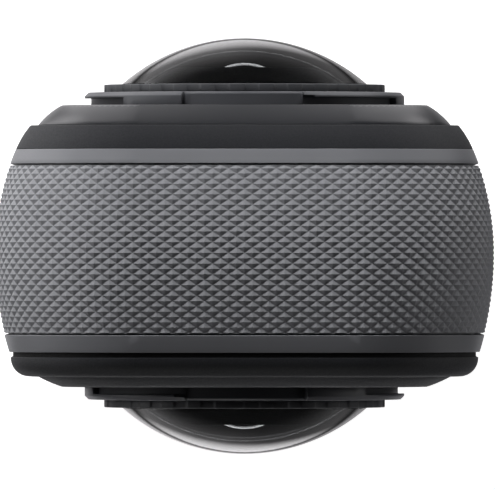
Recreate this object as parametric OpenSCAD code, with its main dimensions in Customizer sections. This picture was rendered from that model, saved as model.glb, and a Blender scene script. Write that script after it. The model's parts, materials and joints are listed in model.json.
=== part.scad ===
// Pocket 360 degree camera: an upright stick body, crowned at the sides, with a wide dome lens
// on the front and on the rear. +Z is up, the front faces -Y, and the base stands on Z = 0.
// The Y = 0 plane lies half way between the tips of the two lenses.

/* [Body outline] */
// Width across the widest line of the crowned sides
body_w = 46; // [44:0.5:50]
// Height from the base to the flat top
body_h = 124.5; // [118:0.5:134]
// Corner radius of the top, seen from the front
top_r = 13.5; // [12:0.5:15]
// Corner radius of the foot, seen from the front
foot_r = 7; // [6:0.5:8]
// Depth that is cut off the crowned foot to make the flat base
base_flat = 1.2; // [1:0.1:1.5]

/* [Body thickness] */
// Mid plane to the face of each lens deck
deck_depth = 12.95; // [12:0.05:14.5]
// Height of the front deck above the front face
front_deck_rise = 1.85; // [1.4:0.05:2.2]
// Height of the rear deck above the rear face
rear_deck_rise = 0.95; // [0.8:0.05:1.2]
// Front face to the joint between the frame and the front cover
front_cover_h = 2.2; // [2.1:0.1:2.6]
// Rear face to the rear edge of the frame
rear_cover_h = 2.25; // [2.15:0.05:2.6]
// Thickness of the gasket that shows behind the frame
rear_gasket_t = 0.45; // [0.3:0.05:0.6]
// How far the gasket stands back from the frame's surface
rear_gasket_recess = 0.35; // [0.2:0.05:0.5]
// Offset of the widest line of the sides towards the rear
crown_y = 0.7; // [0.4:0.1:1]
// Radius of the crowned sides in front of the widest line
crown_front_r = 24.5; // [22:0.5:28]
// Radius of the crowned sides behind the widest line
crown_rear_r = 31; // [28:0.5:34]
// Radius of the front cover's rounded cheek
cheek_r = 9; // [7.5:0.5:11]
// Edge radius of the rear cover
rear_edge_r = 1.7; // [1.2:0.1:1.7]

/* [Walls and fits] */
// Outline to the frame's inner wall
frame_wall = 3.4; // [3.2:0.1:3.6]
// Thickness of the front cover's face
cover_t = 1.8; // [1.6:0.1:1.9]
// Thickness of the ribs that locate the covers in the frame
spigot_t = 1.2; // [0.9:0.1:1.4]
// Depth of those ribs in the frame
spigot_l = 1; // [0.7:0.1:1.2]
// Gap between fixed pieces that locate in each other
fit_gap = 0.1; // [0.06:0.02:0.14]
// Gap beside pieces that move
run_gap = 0.15; // [0.1:0.01:0.18]

/* [Grip band] */
// Width of the frame's bare strip in front of the knurled band
front_strip_w = 1.5; // [1.3:0.1:1.7]
// Width of the frame's bare strip behind the knurled band
rear_strip_w = 1.75; // [1.55:0.05:1.95]
// Thickness of the band at the widest line
band_t = 1.9; // [1.8:0.1:2]
// Height above the base where the band ends
band_end = 9; // [8:0.5:9.5]

/* [Lens decks] */
// Top of the body to the lens axis
lens_drop = 23; // [22.5:0.5:24]
// Outline to the foot of the decks
deck_inset = 4; // [3.6:0.1:4.2]
// Width of the decks' sloped edge
deck_slope = 2.2; // [1.8:0.1:2.4]
// Radius of the front deck's convex slope
front_slope_r = 7; // [5:0.5:10]
// Radius of the rear deck's convex slope
rear_slope_r = 12; // [8:0.5:16]

/* [Bayonet] */
// Radius of the bayonet ring's wall
bayonet_r = 14.15; // [14:0.05:14.3]
// Radius of the bayonet's lips
lip_r = 14.8; // [14.6:0.05:15]
// Height of the bayonet ring above the deck
bayonet_h = 1.25; // [1.1:0.05:1.4]
// Height of the undercut below the lips
undercut_h = 0.7; // [0.55:0.05:0.8]
// Radius of the skirt that passes through the deck
skirt_r = 13.2; // [13.1:0.05:13.4]
// Bore of the bayonet ring
bayonet_bore_r = 12.3; // [12.25:0.05:12.4]
// Length of the skirt below the deck's face
skirt_l = 3.4; // [2.8:0.1:3.6]
// Number of lips
lip_count = 3; // [3:1:3]
// Angle that each lip covers, with its stop
lip_angle = 75; // [65:1:85]
// Angle of the stop at the end of each lip
stop_angle = 26; // [18:1:32]

/* [Lens] */
// Face of the deck to the tip of the dome
dome_rise = 6.3; // [6.1:0.05:6.6]
// Outer radius of the dome
dome_r = 17.2; // [17:0.1:17.4]
// Radius of the dome's rim
dome_rim_r = 11.3; // [11.2:0.05:11.4]
// Glass thickness at the dome's tip
dome_t = 1.2; // [1:0.05:1.3]
// Radius of the dome's hollow
dome_hollow_r = 15.8; // [15.7:0.1:16]
// Tip of the dome to its seat
dome_h = 5.25; // [5.1:0.05:5.4]
// Outer radius of the ring that holds the dome
lens_ring_r = 13; // [12.8:0.05:13.1]
// Height of that ring above the bayonet
lens_ring_h = 0.73; // [0.6:0.01:0.85]
// Number of grip notches round that ring
ring_notches = 30; // [24:1:36]
// Depth of those notches
notch_depth = 0.12; // [0.08:0.02:0.18]
// Tip of the dome to the black nose under it
nose_drop = 3.35; // [3.3:0.05:3.6]
// Radius of the nose's flat top
nose_r = 7.6; // [7.2:0.1:7.8]
// Radius of the inner lens
inner_lens_r = 3.2; // [3:0.1:3.4]
// Radius of the inner lens's front surface
inner_lens_dome_r = 4.8; // [4.6:0.1:5.4]
// Radius of the relay lens
relay_lens_r = 5; // [4.6:0.1:5.4]
// Thickness of the relay lens
relay_lens_t = 2.4; // [2:0.1:3]
// Radius of the barrel's waist
barrel_r = 9.2; // [9:0.1:9.6]

/* [Screen] */
// Width of the cover glass
screen_w = 36; // [34:0.5:37]
// Corner radius of the cover glass
screen_r = 4; // [3:0.5:6]
// Thickness of the cover glass
screen_t = 1; // [0.8:0.1:1.1]
// Border of glass round the display
screen_border = 2.5; // [2:0.1:3]
// Thickness of the display panel
display_t = 1.8; // [1.5:0.1:2]
// Lower edge of the glass above the base
screen_z = 20.5; // [19.5:0.5:23]
// Lens axis to the upper edge of the glass
screen_to_lens = 21; // [20.5:0.5:24]

/* [Keys] */
// Radius of the two keys under the screen
key_r = 5; // [4.5:0.1:5.2]
// Height of those keys above the base
key_z = 11; // [10.8:0.1:11.4]
// Distance of those keys from the middle
key_x = 7.5; // [7.2:0.1:7.7]
// How far those keys stand proud
key_proud = 0.6; // [0.4:0.05:0.8]
// Travel of every key
key_travel = 0.5; // [0.3:0.05:0.5]
// Width of the side keys
side_key_w = 4.4; // [4:0.1:5]
// Length of the side keys
side_key_l = 9; // [8:0.1:10]
// Middle of the port to the upper side key
key_to_port = 20; // [19:0.5:22]
// Distance between the side keys
side_key_pitch = 12; // [11.5:0.5:14]
// Depth of the thumb scoop round the side keys
scoop_depth = 0.45; // [0.3:0.05:0.6]

/* [Port door] */
// Lens axis to the middle of the port
port_to_lens = 27.5; // [27:0.1:28]
// Length of the port door
door_l = 17; // [16.6:0.1:17.4]
// Width of the port door
door_w = 10; // [9.6:0.1:10.4]
// Width of the frame's rim round the door
door_rim = 1.05; // [0.95:0.05:1.15]
// Radius of the door's knuckle
knuckle_r = 1.6; // [1.5:0.05:1.65]
// Radius of the hinge pin
hinge_pin_r = 0.45; // [0.4:0.05:0.5]

/* [Battery] */
// Height of the battery above the base
battery_z = 20; // [19.6:0.1:21]
// Lens axis to the top of the battery
battery_to_lens = 35.5; // [35:0.1:37]
// Front edge of the band to the front of the battery
battery_front_room = 2.05; // [2:0.05:2.4]
// Rear edge of the band to the rear of the battery
battery_rear_room = 2.05; // [2:0.05:2.5]
// Room left for the keys between the battery and the side
side_room = 9.5; // [9.3:0.1:10]
// How far the cover reaches above the battery
cover_rise = 4; // [3.6:0.1:4.4]
// Wall of the battery's tray
tray_t = 0.8; // [0.6:0.05:0.85]
// Travel of the battery's lock
lock_travel = 2; // [1.6:0.1:2.1]

/* [Base] */
// Radius of the hole for the tripod screw, the core of a 1/4-20 thread
tripod_r = 2.55; // [2.5:0.01:2.6]
// Depth of that hole
tripod_depth = 6.5; // [5.5:0.1:6.8]
// Radius of the threaded insert
insert_r = 4.2; // [3.8:0.1:4.6]
// Length of the insert
insert_l = 8; // [7.5:0.1:8.4]
// Length of the base plate
base_plate_l = 26; // [24:0.5:27]
// Width of the base plate
base_plate_w = 11.6; // [11:0.1:12]
// Thickness of the base plate
base_plate_t = 1; // [0.8:0.1:1.2]

/* [Hidden] */
$fn = 96;

// Finishes
graphite = "#3a3b3f";
knurl_grey = "#77787c";
satin_grey = "#6b6c70";
black_plastic = "#1c1c1e";
deck_black = "#2f3033";
rubber_black = "#141414";
glass_tint = "#2b3038";
board_green = "#1f5a3c";
brass = "#b08d57";
steel = "#a8aab0";
alloy = "#8f9196";
red_mark = "#c0392b";

// Depths, measured outwards from the mid plane
front_depth = deck_depth - front_deck_rise;
rear_depth = deck_depth - rear_deck_rise;
front_joint = front_depth - front_cover_h;
rear_joint = rear_depth - rear_cover_h;
band_front = front_joint - front_strip_w;
band_rear = rear_joint - rear_strip_w;
battery_front = band_front - battery_front_room;
battery_rear = band_rear - battery_rear_room;
dome_tip = deck_depth + dome_rise;

// Outline
half_w = body_w / 2;
foot_z = -base_flat;
inner_w = half_w - frame_wall;
floor_z = foot_z + frame_wall;
band_floor_w = half_w - band_t;
lens_z = body_h - lens_drop;
port_z = lens_z - port_to_lens;
rear_cover_y = rear_joint + rear_gasket_t;
front_inner_y = -front_depth + cover_t;
far = 200;
over = 1;
root = 0.1;

// Screws: shank radius, head radius and head height
screw_r = 0.7;
screw_head_r = 1.4;
screw_head_h = 0.75;
small_screw_r = 0.5;
small_head_r = 1.1;
small_head_h = 0.6;
screw_clear = 0.1;
screw_sunk = 0.1;
boss_r = 1.9;
boss_depth = 5.3;
boss_floor = 0.6;
foot_screw_grip = 2.2;
top_screw_grip = 4.4;

// Channel of the band, gaskets and covers
band_gap = 0.15;
gasket_w = 0.6;
gasket_t = 0.5;
gasket_land = 0.4;
gasket_inset = frame_wall - gasket_land;
face_lap = 0.5;
spigot_lap = 0.2;
cover_rim = 5.5;
spigot_rear = rear_joint - spigot_l;
cheek_slope = (front_joint + crown_y) / crown_front_r;
cheek_centre = [-crown_inset(-front_joint) - cheek_r * sqrt(1 - cheek_slope * cheek_slope),
    -front_joint + cheek_r * cheek_slope];
rear_rim = crown_inset(rear_cover_y);

// Decks
deck_half_w = half_w - deck_inset;
deck_half_h = lens_drop - deck_inset;
deck_corner_r = top_r - deck_inset;
deck_bore_r = skirt_r + fit_gap;
deck_core = 1.5;

// Lens stack, measured outwards from the mid plane
dome_seat = dome_tip - dome_h;
nose_tip = dome_tip - nose_drop;
ring_top = deck_depth + bayonet_h + lens_ring_h;
bracket_t = 2;
bracket_reach = [14, 9];
bracket_screw_in = 1.6;
bracket_screw_x = inner_w - bracket_screw_in;
bracket_screw_drop = 10.5;
bracket_screw_rise = 5.5;
bracket_screw_z = [lens_z - bracket_screw_drop, lens_z + bracket_screw_rise];
bracket_lug = [3.1, 3, 5];
bracket_hole_l = 2.6;
bracket_screw_grip = 2.4;
sensor_board_t = 1;
sensor_h = 0.9;
sensor_size = 9;
barrel_foot = bracket_t / 2 + sensor_board_t;
barrel_foot_t = 1.5;
barrel_foot_size = [2 * lens_ring_r, 18];
barrel_collar_h = 3.5;
barrel_neck = dome_seat - barrel_collar_h;
barrel_neck_chamfer = 0.5;
barrel_wall = 1.8;
barrel_wall_r = dome_rim_r - fit_gap / 2;
nose_rim = 1;
lens_screw_at = [11, 6];
lens_hole_floor = 0.3;
lens_screw_floor = 0.4;
relay_drop = 3.3;
relay_seat = nose_tip - relay_drop;
relay_pocket_l = 4.1;
relay_pocket = relay_seat - relay_pocket_l;
relay_cone_h = 2;
relay_sag = 1;
inner_lens_drop = 2.1;
inner_lens_seat = nose_tip - inner_lens_drop;
inner_lens_proud = 1;
lens_ledge = 0.8;
lens_ring_spigot = 1.6;
lip_start = 22;
lip_chamfer = 0.35;
lip_overlap = 2;
lip_root = 0.05;
lead_angle = 4;
lead_h = 0.2;
bayonet_chamfer = 0.2;

// Cover screws
boss_to_wall = 3.45;
corner_screw = (top_r - frame_wall - boss_to_wall) / sqrt(2);
cover_screw_top = [half_w - top_r + corner_screw, body_h - top_r + corner_screw];
foot_screw_x = 13.5;
foot_screw_drop = 3.5;
cover_screw_foot = [foot_screw_x, battery_z - foot_screw_drop];
foot_boss_l = 2.6;
boss_web = boss_to_wall + root;
boss_web_t = 2;
web_gap = 0.4;
web_step = 0.3;

// Front openings
mic_r = 1.5;
mic_x = 14;
mic_drop = 2.75;
mic_z = lens_z - deck_half_h - mic_drop;
mic_sunk = 0.2;
light_r = 0.9;
slot_pitch = 1.8;
slot_w = 0.8;
slot_z = [5, 9];
speaker_half_w = 5.5;
speaker_top = 10;

// Front pad
pad_t = 0.9;
pad_sunk = 0.6;
pad_half_w = 16;
pad_z = 13;
pad_to_lens = 24.5;
pad_r = 6;

// Keys
key_flange_w = 0.9;
key_flange_t = 0.75;
key_gap = 0.05;
key_stem_r = 1.2;
key_stem_l = 0.4;
switch_size = 3;
switch_h = 0.8;
key_board_t = 0.6;
key_post_r = 1.4;
key_post_gap = 0.1;
key_post_drop = 2;
key_post = [key_x + key_r + key_flange_w + key_post_r + key_post_gap, key_z - key_post_drop];
key_post_rim = 1.6;
key_board_half_w = key_post[0] + key_post_rim;
key_board_drop = 5.4;
key_board_rise = 1.9;
key_board_z = [key_z - key_board_drop, key_z + key_board_rise];
key_screw_grip = 2;
key_dish_r = 15;
key_dish_depth = 0.4;
key_switch_y = rear_cover_y - key_gap - key_flange_t - key_stem_l - key_travel - key_gap;
key_board_y = key_switch_y - switch_h;
side_flange_x = inner_w - key_gap - key_flange_t;
side_switch_x = side_flange_x - key_travel - key_gap;
side_switch_h = 1.1;
side_board_x = side_switch_x - side_switch_h;
side_board_t = 0.8;
power_key_z = port_z - key_to_port;
quick_key_z = power_key_z - side_key_pitch;
side_board_end = 7;
side_board_z = [quick_key_z - side_board_end, power_key_z + side_board_end];
side_board_half = 3;
side_lug_h = 1.5;
side_lug_half = 2.2;
side_flange_w = 0.6;
scoop_margin = 1.4;

// Screen
screen_top = lens_z - screen_to_lens;

// Port
port_half = [1.6, 4.5];
port_gap = 0.2;
socket_l = 7.4;
port_boss_l = 3.6;
port_boss_rim = 1.2;
socket_back = 0.8;
socket_skin = 0.2;
socket_tongue = [0.35, 3.3];
socket_tongue_back = 1.2;
door_half_w = door_w / 2;
hinge_x = half_w - knuckle_r;
hinge_z = port_z - door_l / 2 + knuckle_r;
knuckle_half = 3.5;
hinge_pin_end = 0.85;
hinge_pin_half = door_half_w + run_gap + hinge_pin_end;
door_back_x = band_floor_w + run_gap;
rim_half_w = door_half_w + run_gap + door_rim;
rim_z = [hinge_z - knuckle_r - run_gap - door_rim - root, port_z + door_l / 2 + run_gap + door_rim];
pin_gap = 0.025;
seal_l = 1.05;
seal_skin = 0.7;
seal_web = 0.3;

// Battery
battery_top = lens_z - battery_to_lens;
battery_end = half_w - side_room;
battery_face = half_w - band_t + run_gap;
cover_top = battery_top + cover_rise;
tray_y = [-battery_front - run_gap - tray_t, battery_rear + run_gap + tray_t];
tray_z = [battery_z - run_gap - tray_t, battery_top + run_gap + tray_t];
contact_t = 1.4;
contact_half = 3;
contact_h = 8;
contact_drop = 2;
tray_end = battery_end + fit_gap + contact_t + tray_t;
seal_ring_w = 0.7;
seal_ring_t = 0.36;
seal_gap = 0.03;
seal_land = 0.5;
seal_foot_land = 1.2;
seal_top_land = 0.6;
card_size = [14, 11, 0.8];
card_z = 12.7;
card_y = -0.5;
card_sunk = 0.4;
card_x = [-band_floor_w + card_sunk, -band_floor_w + card_sunk + card_size[0]];
card_gap = 0.05;
socket_wall = 0.6;

// Battery lock
lock_drop = 4;
lock_z = battery_top - lock_drop;
lock_knob = [2.8, 4, 2.4];
lock_floor = 1;
lock_neck = [1, 1.6];
lock_tongue = [2.2, 2];
lock_tongue_x = [inner_w + 0.35, band_floor_w - 0.5];
lock_gap = 0.1;
lock_sunk = 0.15;

// Boards
board_t = 1;
board_gap = 0.7;
board_y = front_inner_y + board_gap;
board_room = 0.8;
board_half_w = inner_w - fit_gap - spigot_t - board_room;
board_z = [battery_z, lens_z - pad_to_lens];
board_screw_x = [-14, 10];
standoff_r = 1.5;
standoff_in = 3;
board_screw_z = [battery_z + standoff_in, battery_top - standoff_in];
board_screw_grip = 1.4;
chip_half_w = 8;
chip_rise = 14;
chip_l = 16;
chip_z = [battery_z + chip_rise, battery_z + chip_rise + chip_l];
spreader_t = 0.5;
spreader_half_w = 15;
spreader_gap = 2;

// Tripod boss
boss_half = [7, 5.5];
insert_flange_r = 5.2;
base_screw_x = 10;
base_screw_sunk = 0.05;
base_head_h = 0.55;
base_screw_l = 4.4;
base_hole_l = 4.6;
base_post_h = 3.4;
base_plate_r = 3;
tripod_boss_roof = 1.5;
tripod_boss_top = insert_l + tripod_boss_roof;

// Inset of the crowned side at a distance y from the mid plane
function crown_inset(y) =
    let (r = y < crown_y ? crown_front_r : crown_rear_r, d = y - crown_y) r - sqrt(r * r - d * d);

// Centre of the circle of radius r through p and q, on the side of the body
function arc_centre(p, q, r) =
    let (m = (p + q) / 2, d = q - p, n = [-d[1], d[0]] / norm(d), h = sqrt(r * r - d * d / 4))
    (m + n * h)[0] < (m - n * h)[0] ? m + n * h : m - n * h;

// Rounded rectangle round the origin, or from z0 to z1 with its own radii at the top and foot
module round_rect(w, h, r) {
    square([w - 2 * r, h], center = true);
    square([w, h - 2 * r], center = true);
    for (x = [-1, 1], y = [-1, 1]) translate([x * (w / 2 - r), y * (h / 2 - r)]) circle(r);
}

module outline(inset) {
    w = half_w - inset;
    rt = top_r - inset;
    rf = foot_r - inset;
    top = body_h - inset;
    foot = foot_z + inset;
    translate([-(w - rt), foot]) square([2 * (w - rt), top - foot]);
    translate([-(w - rf), foot]) square([2 * (w - rf), body_h - top_r - foot]);
    translate([-w, foot_z + foot_r]) square([2 * w, body_h - top_r - foot_z - foot_r]);
    for (x = [-1, 1]) {
        translate([x * (w - rt), top - rt]) circle(rt);
        translate([x * (w - rf), foot + rf]) circle(rf);
    }
}

// A plate of an outline in the XZ plane, from y0 to y1
module slab(y0, y1) {
    translate([0, y1, 0]) rotate([90, 0, 0]) linear_extrude(y1 - y0) children();
}

// Sweeps a profile round a rectangle with rounded corners. The profile's x is 0 on the outline and
// grows outwards, and its y is the object's Y.
module sweep_round(w, z0, z1, r_top, r_foot) {
    for (side = [0, 1]) mirror([side, 0, 0]) {
        translate([w / 2, 0, z0 + r_foot]) linear_extrude(z1 - r_top - z0 - r_foot) children();
        translate([w / 2 - r_top, 0, z1 - r_top]) rotate([-90, 0, 0]) rotate([0, 0, -90])
            rotate_extrude(angle = 90) translate([r_top, 0]) children();
        translate([w / 2 - r_foot, 0, z0 + r_foot]) rotate([-90, 0, 0])
            rotate_extrude(angle = 90) translate([r_foot, 0]) children();
    }
    translate([w / 2 - r_top, 0, z1]) rotate([0, -90, 0]) linear_extrude(w - 2 * r_top) children();
    translate([-w / 2 + r_foot, 0, z0]) rotate([0, 90, 0]) linear_extrude(w - 2 * r_foot) children();
}

module round_body() {
    sweep_round(body_w, foot_z, body_h, top_r, foot_r) children();
}

module below_base() {
    translate([-far / 2, -far / 2, -far]) cube([far, far, far]);
}

// The crowned side as a profile, from y0 to y1 and from the outline inwards to depth
module crown_profile(y0, y1, depth) {
    intersection() {
        translate([-depth, y0]) square([depth, y1 - y0]);
        union() {
            intersection() {
                translate([-crown_front_r, crown_y]) circle(crown_front_r, $fn = 360);
                translate([-depth, -far]) square([depth, far + crown_y]);
            }
            intersection() {
                translate([-crown_rear_r, crown_y]) circle(crown_rear_r, $fn = 360);
                translate([-depth, crown_y]) square([depth, far]);
            }
        }
    }
}

// A straight length of the crowned right side, from z0 to z1
module crown_bar(y0, y1, depth, z0, z1) {
    translate([half_w, 0, z0]) linear_extrude(z1 - z0) crown_profile(y0, y1, depth);
}

module box(x, y, z) {
    translate([x[0], y[0], z[0]]) cube([x[1] - x[0], y[1] - y[0], z[1] - z[0]]);
}

// A rod along X or along Y, from the first to the second end
module rod_x(r, x, y, z) {
    translate([x[0], y, z]) rotate([0, 90, 0]) cylinder(h = x[1] - x[0], r = r);
}

module rod_y(r, x, y, z) {
    translate([x, y[1], z]) rotate([90, 0, 0]) cylinder(h = y[1] - y[0], r = r);
}

// A pill, long in Z and extruded along X
module pill_x(x, y, z, half_y, half_z) {
    box(x, [y - half_y, y + half_y], [z - half_z + half_y, z + half_z - half_y]);
    for (s = [-1, 1]) rod_x(half_y, x, y, z + s * (half_z - half_y));
}

// Screw along Y, with its head's outer face at y and its point towards dir
module screw_y(at, y, dir, r, head_r, head_h, length) {
    ends = [y, y + dir * head_h, y + dir * length];
    rod_y(head_r, at[0], [min(ends[0], ends[1]), max(ends[0], ends[1])], at[1]);
    rod_y(r, at[0], [min(ends[1], ends[2]), max(ends[1], ends[2])], at[1]);
}

// Places a lens piece, drawn along +Z from the mid plane, on the front or on the rear
module on_front() {
    translate([0, 0, lens_z]) rotate([90, 0, 0]) children();
}

module on_rear() {
    translate([0, 0, lens_z]) rotate([0, 0, 180]) rotate([90, 0, 0]) children();
}

// Housing

module mid_frame_body() {
    round_body() crown_profile(-front_joint, rear_joint, frame_wall);
    // Rim round the port door, and the boss that holds the socket behind it
    crown_bar(crown_y - rim_half_w, crown_y + rim_half_w, frame_wall, rim_z[0], rim_z[1]);
    box([inner_w - port_boss_l, inner_w + root], [crown_y - door_half_w, crown_y + door_half_w],
        [port_z - port_half[1] - port_boss_rim, port_z + port_half[1] + port_boss_rim]);
    // Bosses for the cover screws
    for (s = [-1, 1]) {
        foot_web = [s * cover_screw_foot[0], s * (inner_w + root)];
        rod_y(boss_r, s * cover_screw_foot[0], [front_inner_y, front_inner_y + foot_boss_l],
            cover_screw_foot[1]);
        box([min(foot_web), max(foot_web)],
            [-front_joint + spigot_l + web_gap, front_inner_y + foot_boss_l - web_step],
            [cover_screw_foot[1] - boss_web_t / 2, cover_screw_foot[1] + boss_web_t / 2]);
        for (y = [[front_inner_y, front_inner_y + boss_depth], [rear_cover_y - boss_depth, rear_cover_y]])
            rod_y(boss_r, s * cover_screw_top[0], y, cover_screw_top[1]);
        translate([s * cover_screw_top[0], 0, cover_screw_top[1]]) rotate([0, -45 * s, 0])
            for (y = [[-front_joint + spigot_l + web_gap, front_inner_y + boss_depth - web_step],
                      [rear_cover_y - boss_depth + web_step, spigot_rear - web_gap]])
                box(s > 0 ? [0, boss_web] : [-boss_web, 0], y, [-boss_web_t / 2, boss_web_t / 2]);
        // Lugs for the lens bracket
        for (z = bracket_screw_z)
            mirror([s < 0 ? 1 : 0, 0, 0]) box([inner_w - bracket_lug[0], inner_w + root],
                [bracket_t / 2, bracket_t / 2 + bracket_lug[1]],
                [z - bracket_lug[2] / 2, z + bracket_lug[2] / 2]);
    }
    // Lugs for the side key board
    for (z = [side_board_z[0], side_board_z[1] - side_lug_h])
        box([side_board_x, inner_w + root], [crown_y - side_lug_half, crown_y + side_lug_half],
            [z, z + side_lug_h]);
    // Tripod boss and the posts of the base screws
    box([-boss_half[0], boss_half[0]], [-boss_half[1], boss_half[1]], [floor_z - root, tripod_boss_top]);
    for (s = [-1, 1]) translate([s * base_screw_x, 0, floor_z - root])
        cylinder(h = base_post_h, r = boss_r);
}

module mid_frame() {
    color(satin_grey) difference() {
        mid_frame_body();
        below_base();
        // Channel of the grip band and the battery's cover
        difference() {
            round_body() translate([-band_t, -band_front - band_gap])
                square([band_t + over, band_front + band_rear + 2 * band_gap]);
            translate([-far / 2, -far / 2, -far + band_end]) cube([far, far, far]);
            box([0, far], [crown_y - rim_half_w, crown_y + rim_half_w], rim_z);
        }
        // Groove of the front gasket
        round_body() translate([-gasket_inset, -front_joint - over]) square([gasket_w, over + gasket_t]);
        // Holes of the cover screws
        for (s = [-1, 1]) {
            rod_y(screw_r + fit_gap / 2, s * cover_screw_foot[0],
                [-far, front_inner_y + foot_boss_l - web_step], cover_screw_foot[1]);
            rod_y(screw_r + fit_gap / 2, s * cover_screw_top[0],
                [-far, front_inner_y + boss_depth - boss_floor], cover_screw_top[1]);
            rod_y(screw_r + fit_gap / 2, s * cover_screw_top[0],
                [rear_cover_y - boss_depth + boss_floor, far], cover_screw_top[1]);
            for (z = bracket_screw_z)
                rod_y(small_screw_r + fit_gap / 2, s * bracket_screw_x,
                    [0, bracket_t / 2 + bracket_hole_l], z);
        }
        // Battery opening, with the slot that the lock enters, and the card slot below it
        box([-far, -inner_w + over], [-battery_front - run_gap, battery_rear + run_gap],
            [battery_z - run_gap, battery_top + run_gap]);
        box([-lock_tongue_x[1] - lock_gap, -lock_tongue_x[0] + lock_gap],
            [crown_y - lock_tongue[0] - lock_gap, crown_y + lock_tongue[0] + lock_gap],
            [battery_top - over, battery_top + lock_travel + lock_gap]);
        box([-far, -inner_w + over],
            [card_y - card_size[1] / 2 - run_gap, card_y + card_size[1] / 2 + run_gap],
            [card_z - card_size[2] / 2 - run_gap, card_z + card_size[2] / 2 + run_gap]);
        // Side keys
        for (z = [power_key_z, quick_key_z])
            pill_x([inner_w - over, far], crown_y, z, side_key_w / 2 + run_gap, side_key_l / 2 + run_gap);
        // Pocket of the port door, the relief of its knuckle, the pin's holes and the port
        box([band_floor_w, far], [crown_y - door_half_w - run_gap, crown_y + door_half_w + run_gap],
            [hinge_z, port_z + door_l / 2 + run_gap]);
        box([hinge_x, far], [crown_y - door_half_w - run_gap, crown_y + door_half_w + run_gap],
            [hinge_z - knuckle_r - run_gap, hinge_z + over]);
        rod_y(knuckle_r + run_gap, hinge_x,
            [crown_y - door_half_w - run_gap, crown_y + door_half_w + run_gap], hinge_z);
        rod_y(hinge_pin_r + pin_gap, hinge_x,
            [crown_y - hinge_pin_half - pin_gap, crown_y + hinge_pin_half + pin_gap], hinge_z);
        pill_x([inner_w - far, far], crown_y, port_z, port_half[0] + port_gap, port_half[1] + port_gap);
        // Seat of the base plate, the tripod insert and the base screws
        translate([0, 0, -over]) linear_extrude(over + base_plate_t)
            round_rect(base_plate_l + 2 * fit_gap, base_plate_w + 2 * fit_gap, base_plate_r);
        translate([0, 0, -over]) cylinder(h = over + insert_l, r = insert_r + fit_gap / 2);
        for (s = [-1, 1]) translate([s * base_screw_x, 0, 0])
            cylinder(h = base_hole_l, r = screw_r + fit_gap / 2);
    }
}

module grip_band() {
    color(knurl_grey) difference() {
        round_body() crown_profile(-band_front, band_rear, band_t);
        translate([-far / 2, -far / 2, -far + band_end + band_gap]) cube([far, far, far]);
        box([-far, 0], [-far / 2, far / 2], [-far, cover_top + band_gap]);
        box([0, far], [crown_y - rim_half_w - band_gap, crown_y + rim_half_w + band_gap],
            [rim_z[0] - band_gap, rim_z[1] + band_gap]);
        for (z = [power_key_z, quick_key_z]) {
            pill_x([0, far], crown_y, z, side_key_w / 2 + run_gap, side_key_l / 2 + run_gap);
            pill_x([half_w - scoop_depth, far], crown_y, z, side_key_w / 2 + scoop_margin,
                side_key_l / 2 + scoop_margin);
        }
    }
}

// Front cover: a curved cheek that carries on from the crown, with a face plate

module front_cover() {
    color(graphite) difference() {
        union() {
            round_body() difference() {
                intersection() {
                    translate([-cover_rim, -front_depth]) square([cover_rim, front_depth - front_joint]);
                    translate(cheek_centre) circle(cheek_r, $fn = 240);
                }
                translate([-cover_rim - over, front_inner_y])
                    square([cover_rim + over - frame_wall, front_depth]);
            }
            slab(-front_depth, front_inner_y) outline(cover_rim - face_lap);
            round_body() translate([-frame_wall - fit_gap - spigot_t, front_inner_y - spigot_lap])
                square([spigot_t, -front_joint + spigot_l - front_inner_y + spigot_lap]);
        }
        below_base();
        translate([0, 0, lens_z]) rotate([90, 0, 0]) cylinder(h = far, r = deck_bore_r);
        // Pocket of the grip pad
        slab(-far, -front_depth + pad_sunk) pad_outline(fit_gap);
        for (s = [-1, 1]) {
            rod_y(screw_r + screw_clear, s * cover_screw_foot[0], [-far, 0], cover_screw_foot[1]);
            rod_y(screw_head_r + screw_clear, s * cover_screw_foot[0],
                [-far, -front_depth + pad_sunk + screw_head_h], cover_screw_foot[1]);
            rod_y(screw_r + screw_clear, s * cover_screw_top[0], [-far, 0], cover_screw_top[1]);
            rod_y(screw_head_r + screw_clear, s * cover_screw_top[0],
                [-far, -front_depth + screw_head_h + screw_sunk], cover_screw_top[1]);
            rod_y(mic_r + fit_gap / 2, s * mic_x, [-far, 0], mic_z);
        }
        rod_y(light_r + fit_gap / 2, 0, [-far, 0], mic_z);
        for (i = [-2:2]) box([i * slot_pitch - slot_w / 2, i * slot_pitch + slot_w / 2], [-far, 0], slot_z);
    }
}

module pad_outline(grow) {
    z0 = pad_z - grow;
    z1 = lens_z - pad_to_lens + grow;
    translate([0, (z0 + z1) / 2]) round_rect(2 * (pad_half_w + grow), z1 - z0, pad_r + grow);
}

module front_grip_pad() {
    color(knurl_grey) slab(-front_depth - pad_t + pad_sunk, -front_depth + pad_sunk) pad_outline(0);
}

module front_status_light() {
    color("white") rod_y(light_r, 0, [-front_depth, front_inner_y], mic_z);
}

module microphone_meshes() {
    color(black_plastic) for (s = [-1, 1]) rod_y(mic_r, s * mic_x, [-front_depth + mic_sunk, front_inner_y],
        mic_z);
}

module front_gasket() {
    color(rubber_black) difference() {
        round_body() translate([-gasket_inset, -front_joint]) square([gasket_w, gasket_t]);
        below_base();
    }
}

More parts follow.
